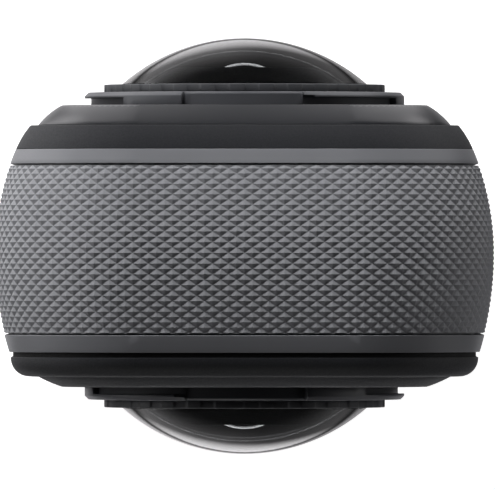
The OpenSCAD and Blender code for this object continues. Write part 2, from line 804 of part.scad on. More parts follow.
module rear_cover() {
    color(graphite) difference() {
        union() {
            round_body() {
                translate([-cover_rim, rear_cover_y])
                    square([cover_rim - rear_rim - rear_edge_r, rear_depth - rear_cover_y]);
                translate([-cover_rim, rear_cover_y])
                    square([cover_rim - rear_rim, rear_depth - rear_edge_r - rear_cover_y]);
                intersection() {
                    translate([-rear_rim - rear_edge_r, rear_depth - rear_edge_r]) circle(rear_edge_r);
                    translate([-cover_rim, rear_cover_y]) square([cover_rim, far]);
                }
            }
            slab(rear_cover_y, rear_depth) outline(cover_rim - face_lap);
            round_body() translate([-frame_wall - fit_gap - spigot_t, spigot_rear])
                square([spigot_t, rear_cover_y + spigot_lap - spigot_rear]);
            for (s = [-1, 1])
                rod_y(key_post_r, s * key_post[0], [key_board_y, rear_cover_y + spigot_lap], key_post[1]);
        }
        below_base();
        translate([0, 0, lens_z]) rotate([-90, 0, 0]) cylinder(h = far, r = deck_bore_r);
        slab(rear_depth - screen_t, far) screen_outline(fit_gap);
        slab(-far, far) display_outline(run_gap);
        for (s = [-1, 1]) {
            rod_y(key_r + run_gap, s * key_x, [0, far], key_z);
            rod_y(small_screw_r + fit_gap / 2, s * key_post[0], [-far, rear_cover_y], key_post[1]);
            rod_y(screw_r + screw_clear, s * cover_screw_top[0], [0, far], cover_screw_top[1]);
            rod_y(screw_head_r + screw_clear, s * cover_screw_top[0],
                [rear_depth - screw_head_h - screw_sunk, far], cover_screw_top[1]);
        }
    }
}

module rear_gasket() {
    color(rubber_black) difference() {
        round_body() translate([-frame_wall, rear_joint])
            square([frame_wall - crown_inset(rear_joint) - rear_gasket_recess, rear_gasket_t]);
        below_base();
    }
}

// Lens decks

module deck(y0, slope_r) {
    foot = [0, -y0];
    face = [-deck_slope, -deck_depth];
    rim = deck_corner_r - deck_core;
    sweep_round(2 * deck_half_w, lens_z - deck_half_h, lens_z + deck_half_h, deck_corner_r, deck_corner_r)
        intersection() {
            translate([-rim, -deck_depth]) square([rim, deck_depth - y0]);
            translate(arc_centre(foot, face, slope_r)) circle(slope_r, $fn = 240);
        }
    slab(-deck_depth, -y0) translate([0, lens_z])
        round_rect(2 * (deck_half_w - rim + face_lap), 2 * (deck_half_h - rim + face_lap),
            deck_corner_r - rim + face_lap);
}

module front_deck() {
    color(deck_black) difference() {
        deck(front_depth, front_slope_r);
        on_front() cylinder(h = far, r = deck_bore_r);
    }
}

module rear_deck() {
    color(deck_black) difference() {
        rotate([0, 0, 180]) deck(rear_depth, rear_slope_r);
        on_rear() cylinder(h = far, r = deck_bore_r);
    }
}

// Bayonet ring: a collar, cut back to a plain wall between the lips and undercut below each lip up to its
// stop. The angles run from the top of the ring.

module bayonet_ring() {
    top = deck_depth + bayonet_h;
    pitch = 360 / lip_count;
    color(deck_black) difference() {
        rotate_extrude() polygon([
            [bayonet_bore_r, deck_depth - skirt_l], [skirt_r, deck_depth - skirt_l], [skirt_r, deck_depth],
            [lip_r, deck_depth], [lip_r, top - lip_chamfer], [lip_r - lip_chamfer, top], [bayonet_bore_r, top]
        ]);
        for (i = [0:lip_count - 1]) rotate([0, 0, 90 + lip_start + i * pitch]) {
            rotate([0, 0, -pitch + lip_angle]) rotate_extrude(angle = pitch - lip_angle) polygon([
                [bayonet_r, deck_depth - over], [lip_r + over, deck_depth - over], [lip_r + over, top + over],
                [bayonet_r - bayonet_chamfer - over, top + over], [bayonet_r, top - bayonet_chamfer]
            ]);
            rotate([0, 0, -lip_overlap]) rotate_extrude(angle = lip_angle - stop_angle + lip_overlap)
                translate([bayonet_r + lip_root, deck_depth - over])
                    square([lip_r - bayonet_r, undercut_h + over]);
            rotate([0, 0, -lip_overlap]) rotate_extrude(angle = lead_angle + lip_overlap)
                translate([bayonet_r + 2 * lip_root, deck_depth])
                    square([lip_r - bayonet_r, undercut_h + lead_h]);
        }
    }
}

// Ring that holds the dome, with grip notches round its edge

module lens_ring() {
    foot = deck_depth + bayonet_h;
    bore = dome_rim_r + fit_gap / 2;
    step = 360 / ring_notches;
    color(black_plastic) difference() {
        union() {
            translate([0, 0, foot]) linear_extrude(lens_ring_h) polygon([
                for (i = [0:ring_notches - 1], k = [[0, 0], [0.5, 0], [0.55, 1], [0.95, 1]])
                    let (a = (i + k[0]) * step, r = lens_ring_r - k[1] * notch_depth) [r * cos(a), r * sin(a)]
            ]);
            translate([0, 0, foot - lens_ring_spigot])
                cylinder(h = lens_ring_spigot + root, r = bayonet_bore_r - fit_gap / 2);
        }
        cylinder(h = far, r = bore);
    }
}

module dome() {
    color(glass_tint, 0.4) difference() {
        intersection() {
            translate([0, 0, dome_tip - dome_r]) sphere(dome_r, $fn = 180);
            translate([0, 0, dome_seat]) cylinder(h = far, r = dome_rim_r);
        }
        translate([0, 0, dome_tip - dome_t - dome_hollow_r]) sphere(dome_hollow_r, $fn = 180);
    }
}

module lens_barrel() {
    bore = inner_lens_r + fit_gap / 2;
    pocket = relay_lens_r + fit_gap / 2;
    barrel_bore_r = barrel_r - barrel_wall;
    color(black_plastic) difference() {
        union() {
            rotate_extrude() polygon([
                [barrel_r, barrel_foot], [barrel_r, barrel_neck - barrel_neck_chamfer],
                [barrel_wall_r, barrel_neck], [barrel_wall_r, dome_seat],
                [dome_rim_r - nose_rim, dome_seat], [nose_r, nose_tip], [bore, nose_tip],
                [bore, inner_lens_seat], [bore - lens_ledge, inner_lens_seat],
                [bore - lens_ledge, relay_seat],
                [pocket, relay_seat], [pocket, relay_pocket], [barrel_bore_r, relay_pocket - relay_cone_h],
                [barrel_bore_r, barrel_foot]
            ]);
            difference() {
                translate([-barrel_foot_size[0] / 2, -barrel_foot_size[1] / 2, barrel_foot])
                    cube([barrel_foot_size[0], barrel_foot_size[1], barrel_foot_t]);
                cylinder(h = far, r = barrel_r - root);
            }
        }
        lens_screw_places() cylinder(h = far, r = small_screw_r + screw_clear);
    }
}

module lens_screw_places() {
    for (s = [-1, 1]) translate([s * lens_screw_at[0], s * lens_screw_at[1], 0]) children();
}

module inner_lens() {
    color(glass_tint, 0.4) intersection() {
        translate([0, 0, nose_tip + inner_lens_proud - inner_lens_dome_r]) sphere(inner_lens_dome_r);
        translate([0, 0, inner_lens_seat]) cylinder(h = far, r = inner_lens_r);
    }
}

module relay_lens() {
    surface_r = (relay_lens_r * relay_lens_r + relay_sag * relay_sag) / (2 * relay_sag);
    color(glass_tint, 0.4) intersection() {
        translate([0, 0, relay_seat - relay_lens_t]) cylinder(h = relay_lens_t, r = relay_lens_r);
        translate([0, 0, relay_seat - relay_lens_t - relay_sag + surface_r]) sphere(surface_r);
    }
}

module sensor_board() {
    color(board_green) difference() {
        union() {
            translate([-barrel_foot_size[0] / 2, -barrel_foot_size[1] / 2, bracket_t / 2])
                cube([barrel_foot_size[0], barrel_foot_size[1], sensor_board_t]);
            translate([-sensor_size / 2, -sensor_size / 2, barrel_foot - root])
                cube([sensor_size, sensor_size, sensor_h + root]);
        }
        lens_screw_places() cylinder(h = far, r = small_screw_r + screw_clear);
    }
}

module lens_bracket() {
    color(alloy) difference() {
        box([-inner_w + fit_gap, inner_w - fit_gap], [-bracket_t / 2, bracket_t / 2],
            [lens_z - bracket_reach[0], lens_z + bracket_reach[1]]);
        on_front() lens_screw_places() translate([0, 0, -bracket_t / 2 + lens_hole_floor])
            cylinder(h = far, r = small_screw_r + fit_gap / 2);
        on_rear() lens_screw_places() translate([0, 0, -bracket_t / 2 + lens_hole_floor])
            cylinder(h = far, r = small_screw_r + fit_gap / 2);
        for (s = [-1, 1], z = bracket_screw_z)
            rod_y(small_screw_r + screw_clear, s * bracket_screw_x, [-far, far], z);
    }
}

module lens_screw() {
    top = barrel_foot + barrel_foot_t;
    translate([0, 0, top]) cylinder(h = small_head_h, r = small_head_r);
    translate([0, 0, -bracket_t / 2 + lens_screw_floor])
        cylinder(h = top + bracket_t / 2 - lens_screw_floor, r = small_screw_r);
}

module lens_screws() {
    color(steel) {
        on_front() lens_screw_places() lens_screw();
        on_rear() lens_screw_places() lens_screw();
    }
}

module bracket_screws() {
    color(steel) for (s = [-1, 1], z = bracket_screw_z)
        screw_y([s * bracket_screw_x, z], -bracket_t / 2 - small_head_h, 1, small_screw_r, small_head_r,
            small_head_h, small_head_h + bracket_t + bracket_screw_grip);
}

module cover_screws() {
    color(steel) for (s = [-1, 1]) {
        screw_y([s * cover_screw_foot[0], cover_screw_foot[1]], -front_depth + pad_sunk, 1, screw_r,
            screw_head_r, screw_head_h, cover_t - pad_sunk + foot_screw_grip);
        screw_y([s * cover_screw_top[0], cover_screw_top[1]], -front_depth + screw_sunk, 1, screw_r,
            screw_head_r, screw_head_h, cover_t + top_screw_grip);
        screw_y([s * cover_screw_top[0], cover_screw_top[1]], rear_depth - screw_sunk, -1, screw_r,
            screw_head_r, screw_head_h, rear_depth - rear_cover_y + top_screw_grip);
    }
}

module speaker() {
    color(black_plastic) box([-speaker_half_w, speaker_half_w], [front_inner_y, -boss_half[1] - fit_gap],
        [floor_z + spigot_t + 2 * fit_gap, speaker_top]);
}

// Screen and keys

module screen_outline(grow) {
    translate([0, (screen_z + screen_top) / 2])
        round_rect(screen_w + 2 * grow, screen_top - screen_z + 2 * grow, screen_r + grow);
}

module display_outline(grow) {
    translate([0, (screen_z + screen_top) / 2])
        square([screen_w + 2 * (grow - screen_border), screen_top - screen_z + 2 * (grow - screen_border)],
            center = true);
}

module screen_glass() {
    color("#0b0c0e") slab(rear_depth - screen_t, rear_depth) screen_outline(0);
}

module display_panel() {
    color("#20242a") slab(rear_depth - screen_t - display_t, rear_depth - screen_t) display_outline(0);
}

module rear_key(x) {
    flange = [rear_cover_y - key_gap - key_flange_t, rear_cover_y - key_gap];
    difference() {
        rod_y(key_r, x, [flange[0], rear_depth + key_proud], key_z);
        translate([x, rear_depth + key_proud + key_dish_r - key_dish_depth, key_z])
            sphere(key_dish_r, $fn = 120);
    }
    rod_y(key_r + key_flange_w, x, flange, key_z);
    rod_y(key_stem_r, x, [flange[0] - key_stem_l, flange[0] + root], key_z);
}

module shutter_button() {
    color(red_mark) rear_key(key_x);
}

module lens_button() {
    color(black_plastic) rear_key(-key_x);
}

module key_board() {
    color(board_green) difference() {
        union() {
            box([-key_board_half_w, key_board_half_w], [key_board_y - key_board_t, key_board_y],
                key_board_z);
            for (s = [-1, 1]) box([s * key_x - switch_size / 2, s * key_x + switch_size / 2],
                [key_board_y - root, key_switch_y], [key_z - switch_size / 2, key_z + switch_size / 2]);
        }
        for (s = [-1, 1]) rod_y(small_screw_r + screw_clear, s * key_post[0], [-far, far], key_post[1]);
    }
}

module key_screws() {
    color(steel) for (s = [-1, 1])
        screw_y([s * key_post[0], key_post[1]], key_board_y - key_board_t - small_head_h, 1, small_screw_r,
            small_head_r, small_head_h, small_head_h + key_board_t + key_screw_grip);
}

module side_key(z) {
    flange = [side_flange_x, inner_w - key_gap];
    pill_x([side_flange_x, half_w], crown_y, z, side_key_w / 2, side_key_l / 2);
    pill_x(flange, crown_y, z, side_key_w / 2 + side_flange_w, side_key_l / 2 + side_flange_w);
}

module power_button() {
    color(black_plastic) side_key(power_key_z);
}

module quick_button() {
    color(black_plastic) side_key(quick_key_z);
}

module side_key_board() {
    color(board_green) {
        box([side_board_x - side_board_t, side_board_x],
            [crown_y - side_board_half, crown_y + side_board_half], side_board_z);
        for (z = [power_key_z, quick_key_z]) box([side_board_x - root, side_switch_x],
            [crown_y - switch_size / 2, crown_y + switch_size / 2],
            [z - switch_size / 2, z + switch_size / 2]);
    }
}

// Port

module usb_socket() {
    shell = [inner_w - socket_l, inner_w];
    color(steel) {
        difference() {
            pill_x(shell, crown_y, port_z, port_half[0] + port_gap - fit_gap,
                port_half[1] + port_gap - fit_gap);
            pill_x([shell[0] + socket_back, far], crown_y, port_z, port_half[0] - socket_skin,
                port_half[1] - socket_skin);
        }
        box([shell[0] + socket_back - root, shell[1] - socket_tongue_back],
            [crown_y - socket_tongue[0], crown_y + socket_tongue[0]],
            [port_z - socket_tongue[1], port_z + socket_tongue[1]]);
    }
}

module usb_door() {
    color(graphite) intersection() {
        crown_bar(-band_front, band_rear, frame_wall, hinge_z - 2 * knuckle_r, port_z + door_l);
        difference() {
            union() {
                box([door_back_x, far], [crown_y - door_half_w, crown_y + door_half_w],
                    [hinge_z, port_z + door_l / 2]);
                rod_y(knuckle_r, hinge_x, [crown_y - knuckle_half, crown_y + knuckle_half], hinge_z);
            }
            rod_y(hinge_pin_r + 2 * pin_gap, hinge_x, [-far, far], hinge_z);
        }
    }
}

module usb_seal() {
    color(rubber_black) difference() {
        pill_x([door_back_x - seal_l, door_back_x], crown_y, port_z, port_half[0], port_half[1]);
        pill_x([-far, door_back_x - seal_web], crown_y, port_z, port_half[0] - seal_skin,
            port_half[1] - seal_skin);
    }
}

module usb_hinge_pin() {
    color(steel) rod_y(hinge_pin_r, hinge_x, [crown_y - hinge_pin_half, crown_y + hinge_pin_half], hinge_z);
}

// Battery

module battery_tray() {
    inner_y = [-battery_front - run_gap, battery_rear + run_gap];
    inner_z = [battery_z - run_gap, battery_top + run_gap];
    color(black_plastic) difference() {
        union() {
            box([-inner_w, tray_end], tray_y, tray_z);
            for (x = board_screw_x, z = board_screw_z)
                rod_y(standoff_r, x, [board_y + board_t, tray_y[0] + root], z);
        }
        box([-far, tray_end - tray_t], inner_y, inner_z);
        for (x = board_screw_x, z = board_screw_z)
            rod_y(small_screw_r + fit_gap / 2, x, [-far, tray_y[0] + tray_t / 2], z);
    }
}

module battery_pack() {
    color("#303236") difference() {
        box([-battery_face, battery_end], [-battery_front, battery_rear], [battery_z, battery_top]);
        box([-far, -lock_tongue_x[0] + 2 * lock_gap],
            [crown_y - lock_tongue[0] - 2 * lock_gap, crown_y + lock_tongue[0] + 2 * lock_gap],
            [lock_z - lock_tongue[1] - 2 * lock_gap, far]);
    }
}

module battery_cover() {
    color(knurl_grey) difference() {
        mirror([1, 0, 0]) crown_bar(-band_front, band_rear, band_t - run_gap, band_end + band_gap, cover_top);
        // Recess for the lock's knob, and the slot for its neck
        box([-far, -half_w + lock_floor],
            [crown_y - lock_knob[0] - 2 * lock_gap, crown_y + lock_knob[0] + 2 * lock_gap],
            [lock_z - lock_knob[1] - 2 * lock_gap, lock_z + lock_knob[2] + lock_travel + 2 * lock_gap]);
        box([-far, 0], [crown_y - lock_neck[0] - 2 * lock_gap, crown_y + lock_neck[0] + 2 * lock_gap],
            [lock_z - lock_neck[1] - 2 * lock_gap, lock_z + lock_neck[1] + lock_travel + 2 * lock_gap]);
        // Groove of the seal
        difference() {
            box([-battery_face - seal_ring_t, 0], seal_y(0), seal_z(0));
            box([-far, far], seal_y(seal_ring_w), seal_z(seal_ring_w));
        }
    }
}

function seal_y(inset) = [-band_front + seal_land + inset, band_rear - seal_land - inset];
function seal_z(inset) = [band_end + seal_foot_land + inset, cover_top - seal_top_land - inset];

module battery_seal() {
    color(rubber_black) difference() {
        box([-battery_face - seal_ring_t + seal_gap, -band_floor_w - seal_gap], seal_y(seal_gap),
            seal_z(seal_gap));
        box([-far, 0], seal_y(seal_ring_w - seal_gap), seal_z(seal_ring_w - seal_gap));
    }
}

module battery_latch() {
    y = function(h) [crown_y - h, crown_y + h];
    color("#a03a2c") {
        box([-half_w + lock_sunk, -half_w + lock_floor - lock_gap], y(lock_knob[0]),
            [lock_z - lock_knob[1], lock_z + lock_knob[2]]);
        box([-half_w + lock_floor - lock_gap - root, -lock_tongue_x[1] + root], y(lock_neck[0]),
            [lock_z - lock_neck[1], lock_z + lock_neck[1]]);
        box([-lock_tongue_x[1], -lock_tongue_x[0]], y(lock_tongue[0]),
            [lock_z - lock_tongue[1], battery_top - lock_gap]);
    }
}

module contact_block() {
    color(brass) box([battery_end + fit_gap, tray_end - tray_t], [-contact_half, contact_half],
        [battery_top - contact_h - contact_drop, battery_top - contact_drop]);
}

module card_socket() {
    half_y = card_size[1] / 2;
    half_z = card_size[2] / 2;
    color(steel) difference() {
        box([-inner_w + fit_gap, card_x[1] + socket_wall],
            [card_y - half_y - socket_wall, card_y + half_y + socket_wall],
            [card_z - half_z - socket_wall, card_z + half_z + socket_wall]);
        box([-far, card_x[1] + fit_gap], [card_y - half_y - card_gap, card_y + half_y + card_gap],
            [card_z - half_z - card_gap, card_z + half_z + card_gap]);
    }
}

module memory_card() {
    color("#22252a") box(card_x, [card_y - card_size[1] / 2, card_y + card_size[1] / 2],
        [card_z - card_size[2] / 2, card_z + card_size[2] / 2]);
}

module main_board() {
    color(board_green) difference() {
        union() {
            box([-board_half_w, board_half_w], [board_y, board_y + board_t], board_z);
            box([-chip_half_w, chip_half_w], [board_y + board_t - root, tray_y[0] - fit_gap], chip_z);
        }
        for (x = board_screw_x, z = board_screw_z) rod_y(small_screw_r + screw_clear, x, [-far, far], z);
    }
}

module heat_spreader() {
    color(alloy) box([-spreader_half_w, spreader_half_w],
        [board_y - fit_gap - spreader_t, board_y - fit_gap],
        [board_screw_z[0] + spreader_gap, board_screw_z[1] - spreader_gap]);
}

module board_screws() {
    color(steel) for (x = board_screw_x, z = board_screw_z)
        screw_y([x, z], board_y - small_head_h, 1, small_screw_r, small_head_r, small_head_h,
            small_head_h + board_t + board_screw_grip);
}

// Base

module base_plate() {
    color(steel) difference() {
        linear_extrude(base_plate_t) round_rect(base_plate_l, base_plate_w, base_plate_r - fit_gap);
        translate([0, 0, -over]) cylinder(h = far, r = insert_flange_r + fit_gap / 2);
        for (s = [-1, 1]) translate([s * base_screw_x, 0, -over]) {
            cylinder(h = far, r = screw_r + screw_clear);
            cylinder(h = over + base_screw_sunk + base_head_h, r = screw_head_r + screw_clear);
        }
    }
}

module base_screws() {
    color(steel) for (s = [-1, 1]) translate([s * base_screw_x, 0, base_screw_sunk]) {
        cylinder(h = base_head_h, r = screw_head_r);
        cylinder(h = base_screw_l, r = screw_r);
    }
}

module tripod_insert() {
    color(brass) difference() {
        union() {
            cylinder(h = base_plate_t, r = insert_flange_r);
            cylinder(h = insert_l - fit_gap, r = insert_r);
        }
        translate([0, 0, -over]) cylinder(h = over + tripod_depth, r = tripod_r);
    }
}

mid_frame();
grip_band();
front_cover();
front_gasket();
rear_cover();
rear_gasket();
front_deck();
rear_deck();
on_front() bayonet_ring();  // front_bayonet_ring
on_rear() bayonet_ring();  // rear_bayonet_ring
on_front() lens_ring();  // front_lens_ring
on_rear() lens_ring();  // rear_lens_ring
on_front() dome();  // front_dome
on_rear() dome();  // rear_dome
on_front() lens_barrel();  // front_lens_barrel
on_rear() lens_barrel();  // rear_lens_barrel
on_front() inner_lens();  // front_inner_lens
on_rear() inner_lens();  // rear_inner_lens
on_front() relay_lens();  // front_relay_lens
on_rear() relay_lens();  // rear_relay_lens
on_front() sensor_board();  // front_sensor_board
on_rear() sensor_board();  // rear_sensor_board
lens_bracket();
lens_screws();
bracket_screws();
cover_screws();
front_grip_pad();
front_status_light();
microphone_meshes();
speaker();
screen_glass();
display_panel();
shutter_button();
lens_button();
key_board();
key_screws();
power_button();
quick_button();
side_key_board();
usb_socket();
usb_door();
usb_seal();
usb_hinge_pin();
battery_tray();
battery_pack();
battery_cover();
battery_seal();
battery_latch();
contact_block();
card_socket();
memory_card();
main_board();
heat_spreader();
board_screws();
base_plate();
base_screws();
tripod_insert();
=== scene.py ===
import json
import math

import bmesh
import bpy
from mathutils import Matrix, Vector


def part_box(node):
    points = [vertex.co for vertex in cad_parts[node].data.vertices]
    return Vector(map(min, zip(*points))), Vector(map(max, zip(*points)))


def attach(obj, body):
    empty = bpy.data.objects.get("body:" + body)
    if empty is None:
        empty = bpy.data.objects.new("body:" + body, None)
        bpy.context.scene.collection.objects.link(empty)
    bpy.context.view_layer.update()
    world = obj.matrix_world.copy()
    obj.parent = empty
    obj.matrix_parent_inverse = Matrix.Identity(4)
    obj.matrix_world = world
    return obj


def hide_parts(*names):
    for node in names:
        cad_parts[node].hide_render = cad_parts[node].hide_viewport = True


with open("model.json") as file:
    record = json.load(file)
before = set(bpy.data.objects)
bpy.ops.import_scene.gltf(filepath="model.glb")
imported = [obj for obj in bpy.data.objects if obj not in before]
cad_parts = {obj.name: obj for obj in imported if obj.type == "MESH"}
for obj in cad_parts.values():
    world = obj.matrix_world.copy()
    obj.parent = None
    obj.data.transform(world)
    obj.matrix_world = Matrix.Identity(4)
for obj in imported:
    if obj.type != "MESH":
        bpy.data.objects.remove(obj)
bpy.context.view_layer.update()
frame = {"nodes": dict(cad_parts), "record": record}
scene = bpy.context.scene
nodes = frame["nodes"]
bodyOf = {node: body for body, names in frame["record"]["behaviour"]["bodies"].items() for node in names}
slotOf = {part["node"]: part["material_slot"] for part in frame["record"]["subparts"]}
mm = 0.001

# Main measures of the housing in mm, the same as in the CAD
housing = {
    "halfWide": 23.0, "top": 124.5, "topRadius": 13.5, "crownY": 0.7, "crownFront": 24.5, "crownRear": 31.0,
    "bandFront": -7.4, "bandRear": 8.0, "bandFoot": 9.15, "bandDepth": 1.9, "bandLeftEnd": 70.15,
    "coverTop": 70.0, "coverDepth": 1.75, "lensZ": 101.5,
}


def linearColour(hexText):  # sRGB hex to linear
    channels = [int(hexText[i:i + 2], 16) / 255 for i in (1, 3, 5)]
    return [c / 12.92 if c <= 0.04045 else ((c + 0.055) / 1.055) ** 2.4 for c in channels] + [1.0]


def addNode(tree, kind, settings=None, links=None):  # one node, its settings, and what feeds it
    node = tree.nodes.new(kind)
    for key, value in (settings or {}).items():
        if isinstance(key, str) and key in node.bl_rna.properties:
            setattr(node, key, value)
        else:
            node.inputs[key].default_value = value
    for key, source in (links or {}).items():  # a node feeds by its first output
        tree.links.new(source.outputs[0] if isinstance(source, bpy.types.Node) else source, node.inputs[key])
    return node


def bareMaterial(name):  # a material with an empty tree
    material = bpy.data.materials.new(name)
    material.use_nodes = True
    material.node_tree.nodes.clear()
    return material


# Camera: straight down on the top end, from far away, with the front lens at the top of the picture
cameraPlace = {"focal": 1196.5, "height": 1624.5, "x": -0.276, "y": -0.092}
cameraData = bpy.data.cameras.new("photoCamera")
cameraData.lens = cameraPlace["focal"]
photoCamera = bpy.data.objects.new("photoCamera", cameraData)
photoCamera.location = [cameraPlace[key] * mm for key in ("x", "y", "height")]
photoCamera.rotation_euler = (0, 0, math.pi)
scene.collection.objects.link(photoCamera)
scene.camera = photoCamera

# Soft boxes: which way each one lies from the lenses, its size in m, its power, and whether gloss shows it
softBoxes = {
    "keyBox": {"from": (0.27, -0.88, 0.4), "size": (0.55, 0.22), "power": 8.8, "gloss": False},
    "rearBox": {"from": (0.15, 0.97, 0.12), "size": (0.6, 0.2), "power": 0.9, "gloss": True},
    "leftBox": {"from": (0.97, -0.22, 0.0), "size": (0.9, 0.6), "power": 2.4, "gloss": True},
    "rightBox": {"from": (-0.97, -0.2, 0.0), "size": (0.9, 0.6), "power": 1.4, "gloss": True},
    "rearFill": {"from": (0.0, 0.5, -0.87), "size": (1.2, 0.6), "power": 13.0, "gloss": False},
}
boxAway = 0.9
lightAim = Vector((0, 0, 0.1))
for name, box in softBoxes.items():
    data = bpy.data.lights.new(name, "AREA")
    data.shape = "RECTANGLE"
    data.size, data.size_y = box["size"]
    data.energy = box["power"]
    light = bpy.data.objects.new(name, data)
    way = Vector(box["from"]).normalized()
    light.location = lightAim + way * boxAway
    light.rotation_euler = way.to_track_quat("Z", "Y").to_euler()
    light.visible_camera = light.visible_transmission = False
    light.visible_glossy = box["gloss"]
    scene.collection.objects.link(light)

# Room: white behind the object and dark for its light, but for soft pale cards. A low card is a product of
# steps, each on one measure of a direction, from one value to another and from one share to the next. A
# round card's edges are cosines, and some of these cards stay out of polished glass. Glass lets only the
# dark through, but for what a lens behind it mirrors: a ray that is mirrored once and passes the dome's
# faces four times.
room = {"colour": "#f0eef0", "dark": 0.012, "fold": 0.53, "tipToward": (0.05, 0.4, -0.915), "mirrorings": 1.0,
        "passes": 4.0, "countSlack": 0.5}
pastRim = ("fold", 0.225, 0.33, 0, 1)  # past the dark line inside the pale rim
lowDown = ("z", -0.35, -0.8, 0, 1)
leftSide = ("x", -0.12, 0.12, 0.45, 1)  # whole on the picture's left, and less on its right
notLensed = ("lensed", 0, 1, 1, 0)  # not for what the inner lens mirrors
lowCards = {
    "paleRim": {"bright": 1.0, "steps": (
        ("fold", 0.25, 0.17, 0, 1), ("z", -0.8, -0.9, 0, 1), ("x", -0.12, 0.12, 0.55, 1), notLensed)},
    "domeGrey": {"bright": 0.68, "steps": (pastRim, lowDown, leftSide, ("y", -0.1, 0.2, 1, 0), notLensed)},
    "rearGrey": {"bright": 0.6, "steps": (
        pastRim, lowDown, leftSide, ("y", -0.1, 0.2, 0, 1), ("aside", 0.12, 0.42, 0.7, 1), notLensed,
        ("dull", 0, 1, 1, 0))},
    "tipGlow": {"bright": 1.8, "steps": (
        pastRim, ("tip", 0.955, 0.9986, 0, 1), ("y", -0.2, 0.2, 0.68, 1), notLensed)},
    "lensArc": {"bright": 2.0, "steps": (
        ("lensed", 0, 1, 0, 1), ("z", -0.985, -0.95, 0, 1), ("z", -0.82, -0.7, 1, 0))},
}
roundCards = {
    "leftCorner": {"toward": (0.56, -0.76, -0.36), "edges": (0.955, 0.992), "bright": 3.3, "glass": False},
    "rightCorner": {"toward": (-0.56, -0.76, -0.36), "edges": (0.955, 0.992), "bright": 3.0, "glass": False},
    "leftLow": {"toward": (0.68, -0.42, -0.6), "edges": (0.93, 0.99), "bright": 1.9, "glass": True},
    "rearLeft": {"toward": (0.76, 0.6, -0.22), "edges": (0.9, 0.99), "bright": 0.55, "glass": True},
    "rearRight": {"toward": (-0.76, 0.6, -0.22), "edges": (0.9, 0.99), "bright": 0.65, "glass": True},
    "topSpark": {"toward": (0.4, -0.5, 0.77), "edges": (0.985, 0.995), "bright": 3.5, "glass": True},
}
world = bpy.data.worlds.new("room")
world.use_nodes = True
scene.world = world
tree = world.node_tree
tree.nodes.clear()
way = addNode(tree, "ShaderNodeTexCoord").outputs["Generated"]
part = addNode(tree, "ShaderNodeSeparateXYZ", links={0: way}).outputs
aside, ahead = [addNode(tree, "ShaderNodeMath", {"operation": "ABSOLUTE"}, {0: part[axis]}) for axis in "XY"]
fold = addNode(tree, "ShaderNodeMath", {"operation": "MULTIPLY_ADD", 1: -room["fold"]}, {0: aside, 2: ahead})
folded = addNode(tree, "ShaderNodeCombineXYZ", links={"X": part["X"], "Y": ahead, "Z": part["Z"]})
tip = addNode(tree, "ShaderNodeVectorMath", {
    "operation": "DOT_PRODUCT", 1: Vector(room["tipToward"]).normalized()}, {0: folded}).outputs["Value"]
seen = addNode(tree, "ShaderNodeLightPath").outputs
mirrored, passed = [
    addNode(tree, "ShaderNodeMath", {"operation": "COMPARE", 1: room[count], 2: room["countSlack"]},
            {0: seen[depth]})
    for depth, count in (("Glossy Depth", "mirrorings"), ("Transmission Depth", "passes"))]
lensed = addNode(tree, "ShaderNodeMath", {"operation": "MULTIPLY"}, {0: mirrored, 1: passed})
dull = addNode(tree, "ShaderNodeMath", {"operation": "SUBTRACT", 0: 1.0}, {1: seen["Is Singular Ray"]})
measures = {"x": part["X"], "y": part["Y"], "z": part["Z"], "aside": aside, "fold": fold, "tip": tip,
            "lensed": lensed, "dull": dull}
glow = {}  # the link that the next sum starts from, at first none but the dark
for card in lowCards.values():
    share = {}  # the same for a product, at first the card's brightness
    for measure, first, last, low, high in card["steps"]:
        step = addNode(tree, "ShaderNodeMapRange", {
            "interpolation_type": "SMOOTHSTEP", "From Min": first, "From Max": last, "To Min": low,
            "To Max": high}, {"Value": measures[measure]})
        share = {0: addNode(tree, "ShaderNodeMath", {"operation": "MULTIPLY", 0: card["bright"]},
                            {**share, 1: step})}
    glow = {0: addNode(tree, "ShaderNodeMath", {"operation": "ADD", 0: room["dark"]}, {**glow, 1: share[0]})}
for card in roundCards.values():
    near = addNode(tree, "ShaderNodeVectorMath", {
        "operation": "DOT_PRODUCT", 1: Vector(card["toward"]).normalized()}, {0: way}).outputs["Value"]
    spot = addNode(tree, "ShaderNodeMapRange", {
        "interpolation_type": "SMOOTHSTEP", "From Min": card["edges"][0], "From Max": card["edges"][1],
        "To Max": card["bright"]}, {"Value": near})
    if not card["glass"]:  # polished glass mirrors no such card
        spot = addNode(tree, "ShaderNodeMath", {"operation": "MULTIPLY"}, {0: spot, 1: dull})
    glow = {0: addNode(tree, "ShaderNodeMath", {"operation": "ADD"}, {**glow, 1: spot})}
pale = addNode(tree, "ShaderNodeBackground", {"Color": linearColour(room["colour"])}, {"Strength": glow[0]})
dim = addNode(tree, "ShaderNodeBackground", {"Color": linearColour(room["colour"]), "Strength": room["dark"]})
white = addNode(tree, "ShaderNodeBackground", {"Color": (1, 1, 1, 1)})
through = addNode(tree, "ShaderNodeMath", {"operation": "SUBTRACT", "use_clamp": True},
                  {0: seen["Is Transmission Ray"], 1: lensed})
lit = addNode(tree, "ShaderNodeMixShader", links={0: through, 1: pale, 2: dim})
mixed = addNode(tree, "ShaderNodeMixShader", links={0: seen["Is Camera Ray"], 1: lit, 2: white})
addNode(tree, "ShaderNodeOutputWorld", links={"Surface": mixed})


def stageSheet(name, corners, finish, hiddenFrom):  # a flat sheet of the set that some rays don't see
    mesh = bpy.data.meshes.new(name)
    mesh.from_pydata(corners, [], [(0, 1, 2, 3)])
    mesh.materials.append(finish)
    sheet = bpy.data.objects.new(name, mesh)
    scene.collection.objects.link(sheet)
    for ray in hiddenFrom:
        setattr(sheet, "visible_" + ray, False)


